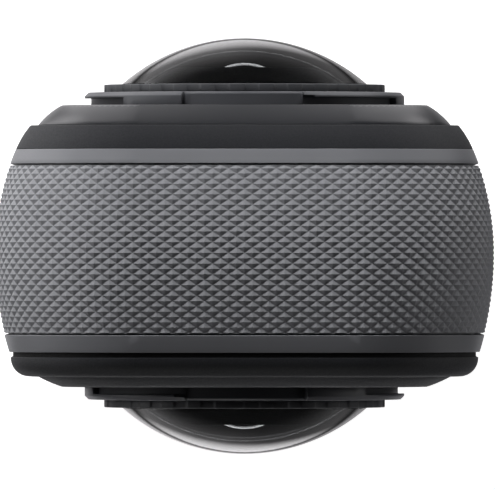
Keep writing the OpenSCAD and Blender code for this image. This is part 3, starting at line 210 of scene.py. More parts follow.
# Floor: a white lit table, whose glow stays off the object
table = {"half": 7.0, "colour": "#f4f4f4", "glow": 1.0, "rough": 0.6}  # half a side in m
tableFinish = bareMaterial("whiteLitTable")  # opal acrylic on a light box: even white, faint shadow
opal = addNode(tableFinish.node_tree, "ShaderNodeBsdfPrincipled", {
    "Base Color": linearColour(table["colour"]), "Roughness": table["rough"], "Emission Color": (1, 1, 1, 1),
    "Emission Strength": table["glow"]})
addNode(tableFinish.node_tree, "ShaderNodeOutputMaterial", links={"Surface": opal})
corners = ((-1, -1), (1, -1), (1, 1), (-1, 1))
stageSheet("floor", [(x * table["half"], y * table["half"], 0) for x, y in corners], tableFinish,
           ("diffuse", "glossy", "transmission", "shadow"))

# Deck cards: a pale card close in front of each half, in mm, fading to the middle. Dull faces mirror it, and
# polished glass sees through it.
deckCards = {"leftCard": {"reach": 60, "fade": 19, "bright": 1.7},
             "rightCard": {"reach": -60, "fade": -19, "bright": 1.5}}
cardPlace = {"y": -84, "z": (0, 128), "colour": "#f0eef0"}
for name, card in deckCards.items():
    paper = bareMaterial(name + "Paper")  # lit tracing paper: a pale glow
    tree = paper.node_tree
    place = addNode(tree, "ShaderNodeTexCoord").outputs["Object"]
    across = addNode(tree, "ShaderNodeSeparateXYZ", links={0: place}).outputs["X"]
    fade = addNode(tree, "ShaderNodeMapRange", {
        "interpolation_type": "SMOOTHSTEP", "From Max": card["fade"] * mm, "To Max": card["bright"]},
        {"Value": across})
    glowing = addNode(tree, "ShaderNodeEmission", {"Color": linearColour(cardPlace["colour"])},
                      {"Strength": fade})
    clear = addNode(tree, "ShaderNodeBsdfTransparent")
    sharp = addNode(tree, "ShaderNodeLightPath").outputs["Is Singular Ray"]
    shown = addNode(tree, "ShaderNodeMixShader", links={0: sharp, 1: glowing, 2: clear})
    addNode(tree, "ShaderNodeOutputMaterial", links={"Surface": shown})
    low, high = cardPlace["z"]
    corners = ((0, low), (card["reach"], low), (card["reach"], high), (0, high))
    stageSheet(name, [(x * mm, cardPlace["y"] * mm, z * mm) for x, z in corners], paper,
               ("camera", "diffuse", "transmission", "shadow"))
scene.view_settings.view_transform = "Standard"
print("camera, light and floor")


# Finishes. A grain in mm drives bump and roughness, and a slower cloud drives the colour.
mottle = {"grainDetail": 2.0, "cloudDetail": 3.0, "low": 0.3, "high": 0.7}  # noise lies from low to high


def grainFinish(name, look):
    material = bareMaterial(name)
    tree = material.node_tree
    place = addNode(tree, "ShaderNodeTexCoord").outputs["Object"]
    stretch = addNode(tree, "ShaderNodeMapping", {"Scale": look.get("stretch", (1, 1, 1))}, {"Vector": place})
    grain = addNode(tree, "ShaderNodeTexNoise", {
        "Scale": 1 / (look["grain"] * mm), "Detail": mottle["grainDetail"]}, {"Vector": stretch})
    cloud = addNode(tree, "ShaderNodeTexNoise", {
        "Scale": 1 / (look["cloud"] * mm), "Detail": mottle["cloudDetail"]}, {"Vector": place})
    tint = addNode(tree, "ShaderNodeMix", {
        "data_type": "RGBA", 6: linearColour(look["colour"]), 7: linearColour(look["shade"])}, {0: cloud})
    rough = addNode(tree, "ShaderNodeMapRange", {
        "From Min": mottle["low"], "From Max": mottle["high"], "To Min": look["rough"][0],
        "To Max": look["rough"][1]}, {"Value": grain})
    bump = addNode(tree, "ShaderNodeBump", {"Strength": look["bump"], "Distance": look["deep"] * mm},
                   {"Height": grain})
    shader = addNode(tree, "ShaderNodeBsdfPrincipled", look["shader"], {
        "Base Color": tint.outputs[2], "Roughness": rough, "Normal": bump})
    addNode(tree, "ShaderNodeOutputMaterial", links={"Surface": shader})
    return material


metal = {"Metallic": 1.0}
looks = {
    # Glass-filled nylon, moulded in a knurled tool: satin grey facets with a faint grit
    "gripNylon": {
        "colour": "#929397", "shade": "#87888c", "cloud": 6, "grain": 0.09, "rough": (0.42, 0.6),
        "bump": 0.12, "deep": 0.02, "shader": {"IOR": 1.53}},
    # Magnesium alloy under satin paint: smooth grey strips with a soft sheen
    "paintedMagnesium": {
        "colour": "#7f8084", "shade": "#76777b", "cloud": 9, "grain": 0.12, "rough": (0.38, 0.5),
        "bump": 0.05, "deep": 0.02, "shader": {"IOR": 1.5}},
    # Glass-filled polycarbonate with a spark-eroded texture: near-black and dull, with a fine grit
    "erodedPolycarbonate": {
        "colour": "#292a2d", "shade": "#242528", "cloud": 8, "grain": 0.16, "rough": (0.62, 0.78),
        "bump": 0.18, "deep": 0.03, "shader": {"IOR": 1.58}},
    # Polycarbonate, finely polished tool: a smoother dark grey
    "satinPolycarbonate": {
        "colour": "#28292c", "shade": "#242528", "cloud": 8, "grain": 0.1, "rough": (0.29, 0.35),
        "bump": 0.03, "deep": 0.02, "shader": {"IOR": 1.58}},
    # Hard-anodised aluminium, turned: dark grey with a dull metal shine
    "anodisedRing": {
        "colour": "#535458", "shade": "#4b4c50", "cloud": 5, "grain": 0.08, "rough": (0.34, 0.46),
        "bump": 0.06, "deep": 0.02, "shader": {"IOR": 1.5}},
    # Black anodised aluminium: the ring that clamps the dome
    "blackAnodised": {
        "colour": "#4a4b4e", "shade": "#424346", "cloud": 4, "grain": 0.07, "rough": (0.5, 0.62),
        "bump": 0.05, "deep": 0.02, "shader": {"IOR": 1.5}},
    # Matt black optical paint: swallows stray light inside the lens
    "opticalBlack": {
        "colour": "#0c0c0d", "shade": "#080809", "cloud": 3, "grain": 0.12, "rough": (0.55, 0.75),
        "bump": 0.2, "deep": 0.02, "shader": {"IOR": 1.45}},
    # Silicone rubber: black and dull, slightly dusty
    "siliconeRubber": {
        "colour": "#171718", "shade": "#1f1f20", "cloud": 5, "grain": 0.14, "rough": (0.66, 0.82),
        "bump": 0.15, "deep": 0.02, "shader": {"IOR": 1.41}},
    # Thermoplastic elastomer, moulded: a soft charcoal pad
    "padElastomer": {
        "colour": "#2b2c2e", "shade": "#262729", "cloud": 7, "grain": 0.2, "rough": (0.62, 0.8),
        "bump": 0.2, "deep": 0.03, "shader": {"IOR": 1.5}},
    # ABS, gloss-etched: the black keys
    "keyAbs": {
        "colour": "#1d1d1f", "shade": "#18181a", "cloud": 4, "grain": 0.11, "rough": (0.36, 0.48),
        "bump": 0.08, "deep": 0.02, "shader": {"IOR": 1.54}},
    # ABS in a red masterbatch: the shutter key and the battery's lock
    "redAbs": {
        "colour": "#b3261e", "shade": "#a01f18", "cloud": 4, "grain": 0.11, "rough": (0.36, 0.5),
        "bump": 0.08, "deep": 0.02, "shader": {"IOR": 1.54}},
    # Polycarbonate battery shell: dark grey, matt
    "batteryShell": {
        "colour": "#2e3034", "shade": "#292b2e", "cloud": 10, "grain": 0.18, "rough": (0.5, 0.66),
        "bump": 0.15, "deep": 0.03, "shader": {"IOR": 1.58}},
    # Stainless steel, brushed along X: fine straight scratches
    "brushedSteel": {
        "colour": "#b4b5b8", "shade": "#a5a6aa", "cloud": 6, "grain": 0.12, "stretch": (0.04, 1, 1),
        "rough": (0.24, 0.42), "bump": 0.1, "deep": 0.01, "shader": metal},
    # Die-cast aluminium: pale grey and slightly rough
    "castAlloy": {
        "colour": "#a6a8ac", "shade": "#989a9e", "cloud": 5, "grain": 0.25, "rough": (0.4, 0.55),
        "bump": 0.15, "deep": 0.03, "shader": metal},
    # Free-cutting brass, turned: the threaded insert and the contacts
    "turnedBrass": {
        "colour": "#c9a562", "shade": "#b8944f", "cloud": 4, "grain": 0.09, "stretch": (1, 1, 0.1),
        "rough": (0.25, 0.4), "bump": 0.08, "deep": 0.01, "shader": metal},
    # Glass-epoxy board under green solder mask
    "solderMask": {
        "colour": "#1c5a3a", "shade": "#174d31", "cloud": 2, "grain": 0.3, "rough": (0.3, 0.42),
        "bump": 0.1, "deep": 0.02, "shader": {"IOR": 1.55}},
    # Liquid-crystal panel, switched off
    "darkPanel": {
        "colour": "#101214", "shade": "#0d0f11", "cloud": 12, "grain": 0.1, "rough": (0.2, 0.26),
        "bump": 0.02, "deep": 0.01, "shader": {"IOR": 1.5}},
    # Opal acrylic window of the status light
    "opalWindow": {
        "colour": "#e8ebee", "shade": "#dfe3e6", "cloud": 2, "grain": 0.1, "rough": (0.2, 0.3),
        "bump": 0.02, "deep": 0.01, "shader": {"IOR": 1.49}},
}
finishes = {name: grainFinish(name, look) for name, look in looks.items()}


# Glass: clear, with a faint mottle in its polish that only the roughness shows
def glassFinish(name, look):
    material = bareMaterial(name)
    tree = material.node_tree
    place = addNode(tree, "ShaderNodeTexCoord").outputs["Object"]
    polish = addNode(tree, "ShaderNodeTexNoise", {
        "Scale": 1 / (look["polish"] * mm), "Detail": mottle["grainDetail"]}, {"Vector": place})
    rough = addNode(tree, "ShaderNodeMapRange", {"To Min": look["rough"][0], "To Max": look["rough"][1]},
                    {"Value": polish})
    shader = addNode(tree, "ShaderNodeBsdfPrincipled", {
        "Base Color": linearColour(look["colour"]), "IOR": look["ior"], "Transmission Weight": look["clear"]},
        {"Roughness": rough})
    result = shader
    spot = addNode(tree, "ShaderNodeSeparateXYZ", links={0: place}).outputs
    if "window" in look:  # the display behind the ink's opening
        window = look["window"]
        rise = addNode(tree, "ShaderNodeMath", {"operation": "SUBTRACT", 1: window["middle"] * mm},
                       {0: spot["Z"]})
        inside = []
        for value, reach in ((spot["X"], window["halfWide"]), (rise, window["halfHigh"])):
            away = addNode(tree, "ShaderNodeMath", {"operation": "ABSOLUTE"}, {0: value})
            inside.append(addNode(tree, "ShaderNodeMath", {"operation": "LESS_THAN", 1: reach * mm},
                                  {0: away}))
        shown = addNode(tree, "ShaderNodeMath", {"operation": "MULTIPLY"}, {0: inside[0], 1: inside[1]})
        tint = addNode(tree, "ShaderNodeMix", {
            "data_type": "RGBA", 6: linearColour(look["colour"]), 7: linearColour(window["colour"])},
            {0: shown})
        tree.links.new(tint.outputs[2], shader.inputs["Base Color"])
    if "paint" in look:  # black on the ground back, and on the edge up to the polished face
        paint = look["paint"]
        depth = addNode(tree, "ShaderNodeMath", {"operation": "ABSOLUTE"}, {0: spot["Y"]})
        back, low = [
            addNode(tree, "ShaderNodeMath", {"operation": "LESS_THAN", 1: paint[key] * mm}, {0: depth})
            for key in ("back", "edgeTop")]
        rise = addNode(tree, "ShaderNodeMath", {"operation": "SUBTRACT", 1: housing["lensZ"] * mm},
                       {0: spot["Z"]})
        arm = addNode(tree, "ShaderNodeCombineXYZ", links={"X": spot["X"], "Y": rise})
        radius = addNode(tree, "ShaderNodeVectorMath", {"operation": "LENGTH"}, {0: arm}).outputs["Value"]
        wide = addNode(tree, "ShaderNodeMath", {"operation": "GREATER_THAN", 1: paint["edge"] * mm},
                       {0: radius})
        edge = addNode(tree, "ShaderNodeMath", {"operation": "MULTIPLY"}, {0: low, 1: wide})
        masked = addNode(tree, "ShaderNodeMath", {"operation": "MAXIMUM"}, {0: back, 1: edge})
        black = addNode(tree, "ShaderNodeBsdfPrincipled", {
            "Base Color": linearColour(paint["colour"]), "Roughness": paint["rough"]})
        result = addNode(tree, "ShaderNodeMixShader", links={0: masked, 1: shader, 2: black})
    addNode(tree, "ShaderNodeOutputMaterial", links={"Surface": result})
    return material


glassLooks = {
    # Crown glass with its ground back and edge painted black: dark inside, pale at the grazing edge
    "domeGlass": {
        "colour": "#f4f6f7", "ior": 1.52, "clear": 1.0, "polish": 4, "rough": (0.0, 0.003),
        "paint": {"back": 14.03, "edge": 11.25, "edgeTop": 14.98, "colour": "#060607", "rough": 0.5}},
    # Coated crown glass: the inner lens, slightly blue
    "coatedLens": {"colour": "#9fb2c8", "ior": 1.62, "clear": 1.0, "polish": 3, "rough": (0.0, 0.02)},
    # Aluminosilicate cover glass with black ink round the display: a deep gloss black, and a blue-grey window
    "inkedGlass": {
        "colour": "#060607", "ior": 1.5, "clear": 0.0, "polish": 14, "rough": (0.03, 0.07),
        "window": {"middle": 50.5, "halfWide": 15.1, "halfHigh": 27.1, "colour": "#171a1e"}},
}
finishes.update({name: glassFinish(name, look) for name, look in glassLooks.items()})
print("finishes:", len(finishes))


# Pieces
def settle(name, mesh, finish, stands=(), like=None):  # links a mesh, gives it its finish, hangs it under its body and hides the solids it stands for
    piece = bpy.data.objects.new(name, mesh)
    scene.collection.objects.link(piece)
    mesh.materials.clear()
    mesh.materials.append(finishes[finish])
    like = like or stands[0]
    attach(piece, bodyOf[like])
    if stands:
        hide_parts(*stands)


def evaluated(holder):  # the plain mesh of an object with its modifiers, and the holder taken away
    depsgraph = bpy.context.evaluated_depsgraph_get()
    mesh = bpy.data.meshes.new_from_object(holder.evaluated_get(depsgraph))
    holder.modifiers.clear()
    bpy.data.objects.remove(holder)
    return mesh


def held(mesh):  # an object that holds a mesh for a while
    holder = bpy.data.objects.new("holder", mesh)
    scene.collection.objects.link(holder)
    return holder


def written(bm, name):  # a new mesh from a bmesh, which is freed
    mesh = bpy.data.meshes.new(name)
    bm.to_mesh(mesh)
    bm.free()
    return mesh


weld = {"solid": 0.002, "field": 0.004, "knurl": 0.003, "cut": 0.0002, "flat": 0.1}  # mm, flat in degrees


def softMesh(source, edge, steps=2, corner=30):  # a merged copy with its edges broken, in mm
    bm = bmesh.new()
    bm.from_mesh(source)
    bmesh.ops.remove_doubles(bm, verts=bm.verts, dist=weld["solid"] * mm)
    bmesh.ops.dissolve_degenerate(bm, edges=bm.edges, dist=weld["solid"] * mm)
    bmesh.ops.dissolve_limit(bm, angle_limit=math.radians(weld["flat"]), verts=bm.verts, edges=bm.edges)
    for face in bm.faces:
        face.smooth = True
    holder = held(written(bm, "soft"))
    bevel = holder.modifiers.new("brokenEdge", "BEVEL")
    bevel.width = edge * mm
    bevel.segments = steps
    bevel.limit_method = "ANGLE"
    bevel.angle_limit = math.radians(corner)
    bevel.use_clamp_overlap = False
    even = holder.modifiers.new("evenShade", "WEIGHTED_NORMAL")
    even.keep_sharp = True
    return evaluated(holder)


def runTree(tree, values):  # evaluates a geometry tree, with its inputs set by identifier
    holder = held(bpy.data.meshes.new("field"))
    modifier = holder.modifiers.new("tree", "NODES")
    modifier.node_group = tree
    for item in tree.interface.items_tree:
        if item.item_type == "SOCKET" and item.in_out == "INPUT":
            modifier[item.identifier] = values[item.name]
    return evaluated(holder)


def newTree(name, sockets):  # an empty geometry tree with its named inputs
    tree = bpy.data.node_groups.new(name, "GeometryNodeTree")
    tree.interface.new_socket(name="Geometry", in_out="OUTPUT", socket_type="NodeSocketGeometry")
    for label, kind in sockets.items():
        tree.interface.new_socket(name=label, in_out="INPUT", socket_type="NodeSocket" + kind)
    return tree, addNode(tree, "NodeGroupInput").outputs


def endTree(tree, geometry, finish):  # real geometry, with its material, to the tree's output
    real = addNode(tree, "GeometryNodeRealizeInstances", links={0: geometry})
    done = addNode(tree, "GeometryNodeSetMaterial", links={"Geometry": real, "Material": finish})
    addNode(tree, "NodeGroupOutput", links={0: done})


# Cutters, in mm
def prism(ringLow, ringHigh):  # a closed solid between two rings of the same count
    bm = bmesh.new()
    low = [bm.verts.new([value * mm for value in point]) for point in ringLow]
    high = [bm.verts.new([value * mm for value in point]) for point in ringHigh]
    bm.faces.new(low)
    bm.faces.new(high)
    for i in range(len(low)):
        j = (i + 1) % len(low)
        bm.faces.new((low[i], low[j], high[j], high[i]))
    bmesh.ops.recalc_face_normals(bm, faces=bm.faces)
    return written(bm, "prism")


def block(spanX, spanY, spanZ):
    ring = [(spanY[0], spanZ[0]), (spanY[1], spanZ[0]), (spanY[1], spanZ[1]), (spanY[0], spanZ[1])]
    return prism([(spanX[0], *point) for point in ring], [(spanX[1], *point) for point in ring])


def pill(spanX, y, z, halfY, halfZ, grow=0.0, around=40):  # a round-ended bar along X that widens by grow
    def ring(x, radius):
        points = []
        for i in range(around):
            angle = 2 * math.pi * i / around
            lift = (halfZ - halfY) * (1 if math.sin(angle) > 0 else -1)
            points.append((x, y + radius * math.cos(angle), z + lift + radius * math.sin(angle)))
        return points
    return prism(ring(spanX[0], halfY), ring(spanX[1], halfY + grow))


def carve(mesh, cutters):
    for cutter in cutters:
        holder, tool = held(mesh), held(cutter)
        cut = holder.modifiers.new("cut", "BOOLEAN")
        cut.operation = "DIFFERENCE"
        cut.solver = "MANIFOLD"
        cut.object = tool
        mesh = evaluated(holder)
        bpy.data.objects.remove(tool)
    return mesh


# Knurl: diamond pyramids on a flat lattice (along the outline, across the crown), trimmed to the band's
# edges, closed underneath, and then wrapped round the crowned outline
def knurlTree():
    tree, given = newTree("crownKnurl", {
        "Along": "Float", "Across": "Float", "Height": "Float", "Land": "Float", "Columns": "Int",
        "Rows": "Int", "First column": "Float", "First row": "Float", "Left end": "Float",
        "Right end": "Float", "Front edge": "Float", "Rear edge": "Float", "Depth": "Float",
        "Flat half": "Float", "Corner radius": "Float", "Corner height": "Float", "Crown line": "Float",
        "Front crown": "Float", "Rear crown": "Float", "Finish": "Material"})
    half = 0.5
    columnSpan = addNode(tree, "ShaderNodeMath", {"operation": "SUBTRACT", 1: 1.0}, {0: given["Columns"]})
    width = addNode(tree, "ShaderNodeMath", {"operation": "MULTIPLY"}, {0: columnSpan, 1: given["Along"]})
    rowSpan = addNode(tree, "ShaderNodeMath", {"operation": "SUBTRACT", 1: 1.0}, {0: given["Rows"]})
    rowStep = addNode(tree, "ShaderNodeMath", {"operation": "MULTIPLY", 1: half}, {0: given["Across"]})
    columnStep = addNode(tree, "ShaderNodeMath", {"operation": "MULTIPLY", 1: half}, {0: given["Along"]})
    length = addNode(tree, "ShaderNodeMath", {"operation": "MULTIPLY"}, {0: rowSpan, 1: rowStep})
    lattice = addNode(tree, "GeometryNodeMeshGrid", links={
        "Size X": width, "Size Y": length, "Vertices X": given["Columns"], "Vertices Y": given["Rows"]})
    # Every other row steps half a pitch along, and the lattice moves to its first column and row
    place = addNode(tree, "ShaderNodeSeparateXYZ", links={
        0: addNode(tree, "GeometryNodeInputPosition")}).outputs
    fromFirst = addNode(tree, "ShaderNodeMath", {"operation": "MULTIPLY_ADD", 1: half},
                        {0: length, 2: place["Y"]})
    rowCount = addNode(tree, "ShaderNodeMath", {"operation": "DIVIDE"}, {0: fromFirst, 1: rowStep})
    row = addNode(tree, "ShaderNodeMath", {"operation": "ROUND"}, {0: rowCount})
    odd = addNode(tree, "ShaderNodeMath", {"operation": "MODULO", 1: 2.0}, {0: row})
    shift = addNode(tree, "ShaderNodeMath", {"operation": "MULTIPLY_ADD"},
                    {0: odd, 1: columnStep, 2: given["First column"]})
    shiftX = addNode(tree, "ShaderNodeMath", {"operation": "MULTIPLY_ADD", 1: half}, {0: width, 2: shift})
    shiftY = addNode(tree, "ShaderNodeMath", {"operation": "MULTIPLY_ADD", 1: half},
                     {0: length, 2: given["First row"]})
    offset = addNode(tree, "ShaderNodeCombineXYZ", links={"X": shiftX, "Y": shiftY})
    points = addNode(tree, "GeometryNodeSetPosition", links={
        "Geometry": lattice.outputs["Mesh"], "Offset": offset})
    # One stud: a pyramid on a narrow flat land
    foot = addNode(tree, "ShaderNodeMath", {"operation": "SUBTRACT", 0: half}, {1: given["Land"]})
    stud = addNode(tree, "GeometryNodeMeshCone", {
        "fill_type": "NONE", "Vertices": 4, "Radius Top": 0.0, "Depth": 1.0}, {"Radius Bottom": foot})
    land = addNode(tree, "GeometryNodeMeshCone", {
        "fill_type": "NONE", "Vertices": 4, "Radius Bottom": half, "Depth": 0.0}, {"Radius Top": foot})
    pair = addNode(tree, "GeometryNodeJoinGeometry")
    tree.links.new(stud.outputs["Mesh"], pair.inputs[0])
    tree.links.new(land.outputs["Mesh"], pair.inputs[0])
    size = addNode(tree, "ShaderNodeCombineXYZ", links={
        "X": given["Along"], "Y": given["Across"], "Z": given["Height"]})
    studs = addNode(tree, "GeometryNodeInstanceOnPoints", links={
        "Points": points, "Instance": pair, "Scale": size})
    field = addNode(tree, "GeometryNodeRealizeInstances", links={0: studs})
    # Trim: faces wholly past an edge go, and what still lies past it slides back and sinks
    spot = addNode(tree, "ShaderNodeSeparateXYZ", links={
        0: addNode(tree, "GeometryNodeInputPosition")}).outputs
    kept = field
    for axis, order, edge in (("X", "LESS_THAN", "Left end"), ("X", "GREATER_THAN", "Right end"),
                              ("Y", "LESS_THAN", "Front edge"), ("Y", "GREATER_THAN", "Rear edge")):
        beyond = addNode(tree, "FunctionNodeCompare", {"operation": order}, {0: spot[axis], 1: given[edge]})
        wholly = addNode(tree, "GeometryNodeFieldOnDomain", {"data_type": "BOOLEAN"}, {0: beyond})
        kept = addNode(tree, "GeometryNodeDeleteGeometry", {"domain": "FACE"},
                       {"Geometry": kept, "Selection": wholly})
    trims, shares = {}, []
    for axis, low, high, pitch in (("X", "Left end", "Right end", columnStep),
                                   ("Y", "Front edge", "Rear edge", rowStep)):
        trims[axis] = addNode(tree, "ShaderNodeClamp", links={
            "Value": spot[axis], "Min": given[low], "Max": given[high]})
        past = addNode(tree, "ShaderNodeMath", {"operation": "SUBTRACT"}, {0: spot[axis], 1: trims[axis]})
        far = addNode(tree, "ShaderNodeMath", {"operation": "ABSOLUTE"}, {0: past})
        shares.append(addNode(tree, "ShaderNodeMath", {"operation": "DIVIDE"}, {0: far, 1: pitch}))
    share = addNode(tree, "ShaderNodeMath", {"operation": "ADD"}, {0: shares[0], 1: shares[1]})
    left = addNode(tree, "ShaderNodeMath", {"operation": "SUBTRACT", "use_clamp": True, 0: 1.0}, {1: share})
    sunk = addNode(tree, "ShaderNodeMath", {"operation": "MULTIPLY"}, {0: spot["Z"], 1: left})
    trimmed = addNode(tree, "ShaderNodeCombineXYZ", links={**trims, "Z": sunk})
    sheet = addNode(tree, "GeometryNodeSetPosition", links={"Geometry": kept, "Position": trimmed})
    merged = addNode(tree, "GeometryNodeMergeByDistance", {"Distance": weld["field"] * mm},
                     {"Geometry": sheet})
    # Walls down from the open edges, which have fewer than two faces, and a floor that closes the piece. The
    # floor is flagged by its depth of 1 m.
    beside = addNode(tree, "GeometryNodeInputMeshEdgeNeighbors")
    rim = addNode(tree, "ShaderNodeMath", {"operation": "LESS_THAN", 1: 2.0}, {0: beside})
    down = addNode(tree, "FunctionNodeInputVector", {"vector": (0, 0, -1)})
    walls = addNode(tree, "GeometryNodeExtrudeMesh", {"mode": "EDGES"},
                    {"Mesh": merged, "Selection": rim, "Offset": down})
    deep = addNode(tree, "ShaderNodeCombineXYZ", {"Z": -1.0}, {"X": spot["X"], "Y": spot["Y"]})
    even = addNode(tree, "GeometryNodeSetPosition", links={
        "Geometry": walls.outputs["Mesh"], "Selection": walls.outputs["Top"], "Position": deep})
    loop = addNode(tree, "GeometryNodeMeshToCurve", links={"Mesh": even, "Selection": walls.outputs["Top"]})
    fill = addNode(tree, "GeometryNodeFillCurve", links={"Curve": loop})
    under = addNode(tree, "GeometryNodeSetPosition", {"Offset": (0, 0, -1)}, {"Geometry": fill})
    both = addNode(tree, "GeometryNodeJoinGeometry")
    tree.links.new(even.outputs[0], both.inputs[0])
    tree.links.new(under.outputs[0], both.inputs[0])
    closed = addNode(tree, "GeometryNodeMergeByDistance", {"Distance": weld["field"] * mm},
                     {"Geometry": both})
    # Wrap: across the crown to Y and a rise, then along the outline to X and Z
    flat = addNode(tree, "ShaderNodeSeparateXYZ", links={
        0: addNode(tree, "GeometryNodeInputPosition")}).outputs
    inFront = addNode(tree, "ShaderNodeMath", {"operation": "LESS_THAN", 1: 0.0}, {0: flat["Y"]})
    crown = addNode(tree, "ShaderNodeMix", links={
        0: inFront, 2: given["Rear crown"], 3: given["Front crown"]})
    turn = addNode(tree, "ShaderNodeMath", {"operation": "DIVIDE"}, {0: flat["Y"], 1: crown})
    sine = addNode(tree, "ShaderNodeMath", {"operation": "SINE"}, {0: turn})
    cosine = addNode(tree, "ShaderNodeMath", {"operation": "COSINE"}, {0: turn})
    wrapY = addNode(tree, "ShaderNodeMath", {"operation": "MULTIPLY_ADD"},
                    {0: sine, 1: crown, 2: given["Crown line"]})
    level = addNode(tree, "ShaderNodeMath", {"operation": "MULTIPLY"}, {0: cosine, 1: crown})
    drop = addNode(tree, "ShaderNodeMath", {"operation": "SUBTRACT"}, {0: crown, 1: level})
    valley = addNode(tree, "ShaderNodeMath", {"operation": "ADD"}, {0: drop, 1: given["Height"]})
    skin = addNode(tree, "ShaderNodeMath", {"operation": "SUBTRACT"}, {0: valley, 1: flat["Z"]})
    isFloor = addNode(tree, "ShaderNodeMath", {"operation": "LESS_THAN", 1: -half}, {0: flat["Z"]})
    inset = addNode(tree, "ShaderNodeMix", links={0: isFloor, 2: skin, 3: given["Depth"]})
    along = addNode(tree, "ShaderNodeMath", {"operation": "ABSOLUTE"}, {0: flat["X"]})
    side = addNode(tree, "ShaderNodeMath", {"operation": "SIGN"}, {0: flat["X"]})
    past = addNode(tree, "ShaderNodeMath", {"operation": "SUBTRACT"}, {0: along, 1: given["Flat half"]})
    rawAngle = addNode(tree, "ShaderNodeMath", {"operation": "DIVIDE"}, {0: past, 1: given["Corner radius"]})
    angle = addNode(tree, "ShaderNodeClamp", {"Max": math.pi / 2}, {"Value": rawAngle})
    arm = addNode(tree, "ShaderNodeMath", {"operation": "SUBTRACT"}, {0: given["Corner radius"], 1: inset})
    out = addNode(tree, "ShaderNodeMath", {"operation": "SINE"}, {0: angle})
    up = addNode(tree, "ShaderNodeMath", {"operation": "COSINE"}, {0: angle})
    onTop = addNode(tree, "ShaderNodeMath", {"operation": "MINIMUM"}, {0: along, 1: given["Flat half"]})
    reach = addNode(tree, "ShaderNodeMath", {"operation": "MULTIPLY_ADD"}, {0: out, 1: arm, 2: onTop})
    wrapX = addNode(tree, "ShaderNodeMath", {"operation": "MULTIPLY"}, {0: reach, 1: side})
    rise = addNode(tree, "ShaderNodeMath", {"operation": "MULTIPLY_ADD"},
                   {0: up, 1: arm, 2: given["Corner height"]})
    quarter = addNode(tree, "ShaderNodeMath", {"operation": "MULTIPLY", 1: math.pi / 2},
                      {0: given["Corner radius"]})
    legRaw = addNode(tree, "ShaderNodeMath", {"operation": "SUBTRACT"}, {0: past, 1: quarter})
    leg = addNode(tree, "ShaderNodeMath", {"operation": "MAXIMUM", 1: 0.0}, {0: legRaw})
    wrapZ = addNode(tree, "ShaderNodeMath", {"operation": "SUBTRACT"}, {0: rise, 1: leg})
    wrapped = addNode(tree, "ShaderNodeCombineXYZ", links={"X": wrapX, "Y": wrapY, "Z": wrapZ})
    bent = addNode(tree, "GeometryNodeSetPosition", links={"Geometry": closed, "Position": wrapped})
    endTree(tree, bent, given["Finish"])
    return tree


knurl = {"along": 1.46, "across": 0.981, "high": 0.18, "land": 0.03, "firstRowY": -7.09, "rows": 34}


def knurledStrip(tree, leftEnd, rightEnd, depth):  # ends are lengths along the outline from the top's middle
    crownArc = housing["crownFront"] * math.asin(
        (knurl["firstRowY"] - housing["crownY"]) / housing["crownFront"])
    edges = [radius * math.asin((y - housing["crownY"]) / radius) for radius, y in (
        (housing["crownFront"], housing["bandFront"]), (housing["crownRear"], housing["bandRear"]))]
    firstRow = crownArc - knurl["across"] / 2  # one cut row in front of the first whole one
    firstColumn = (math.floor(leftEnd / knurl["along"]) - 1) * knurl["along"]
    columns = math.ceil((rightEnd - firstColumn) / knurl["along"]) + 2  # one to spare at each end
    sizes = {
        "Along": knurl["along"], "Across": knurl["across"], "Height": knurl["high"],
        "First column": firstColumn, "First row": firstRow, "Left end": leftEnd, "Right end": rightEnd,
        "Front edge": edges[0], "Rear edge": edges[1], "Depth": depth,
        "Flat half": housing["halfWide"] - housing["topRadius"], "Corner radius": housing["topRadius"],
        "Corner height": housing["top"] - housing["topRadius"], "Crown line": housing["crownY"],
        "Front crown": housing["crownFront"], "Rear crown": housing["crownRear"]}
    return runTree(tree, {
        **{name: size * mm for name, size in sizes.items()}, "Land": knurl["land"], "Columns": columns,
        "Rows": knurl["rows"], "Finish": finishes["gripNylon"]})


def outlineLength(z):  # from the top's middle round the corner and down to height z
    corner = housing["top"] - housing["topRadius"]
    return housing["halfWide"] - housing["topRadius"] + housing["topRadius"] * math.pi / 2 + corner - z


def cleaned(mesh, near=weld["knurl"]):  # closes doubles, drops slivers and turns the faces outwards
    bm = bmesh.new()
    bm.from_mesh(mesh)
    bmesh.ops.remove_doubles(bm, verts=bm.verts, dist=near * mm)
    bmesh.ops.dissolve_degenerate(bm, edges=bm.edges, dist=near * mm)
    bmesh.ops.recalc_face_normals(bm, faces=bm.faces)
    openEdges = sum(1 for edge in bm.edges if len(edge.link_faces) != 2)
    bm.to_mesh(mesh)
    bm.free()
    return openEdges


crownKnurl = knurlTree()
bandOpenings = {
    "keyHeights": (54.0, 42.0), "keyHalf": (2.35, 4.65), "scoopHalf": (3.6, 5.9), "scoopFloor": 22.55,
    "scoopDraft": 0.55, "doorY": (-5.65, 7.05), "doorZ": (64.05, 83.85), "through": (18.0, 26.0)}
gripMesh = knurledStrip(crownKnurl, -outlineLength(housing["bandLeftEnd"]),
                        outlineLength(housing["bandFoot"]), housing["bandDepth"])
cleaned(gripMesh)
scoop = (bandOpenings["scoopFloor"], 2 * housing["halfWide"] - bandOpenings["scoopFloor"])
cutters = [block(bandOpenings["through"], bandOpenings["doorY"], bandOpenings["doorZ"])]
for height in bandOpenings["keyHeights"]:
    spot = (housing["crownY"], height)
    cutters.append(pill(scoop, *spot, *bandOpenings["scoopHalf"], grow=bandOpenings["scoopDraft"]))
    cutters.append(pill(bandOpenings["through"], *spot, *bandOpenings["keyHalf"]))
gripMesh = carve(gripMesh, cutters)
print("knurl on the band:", len(gripMesh.polygons), "faces, open edges", cleaned(gripMesh, weld["cut"]))
settle("gripBand", gripMesh, "gripNylon", ["grip_band"])

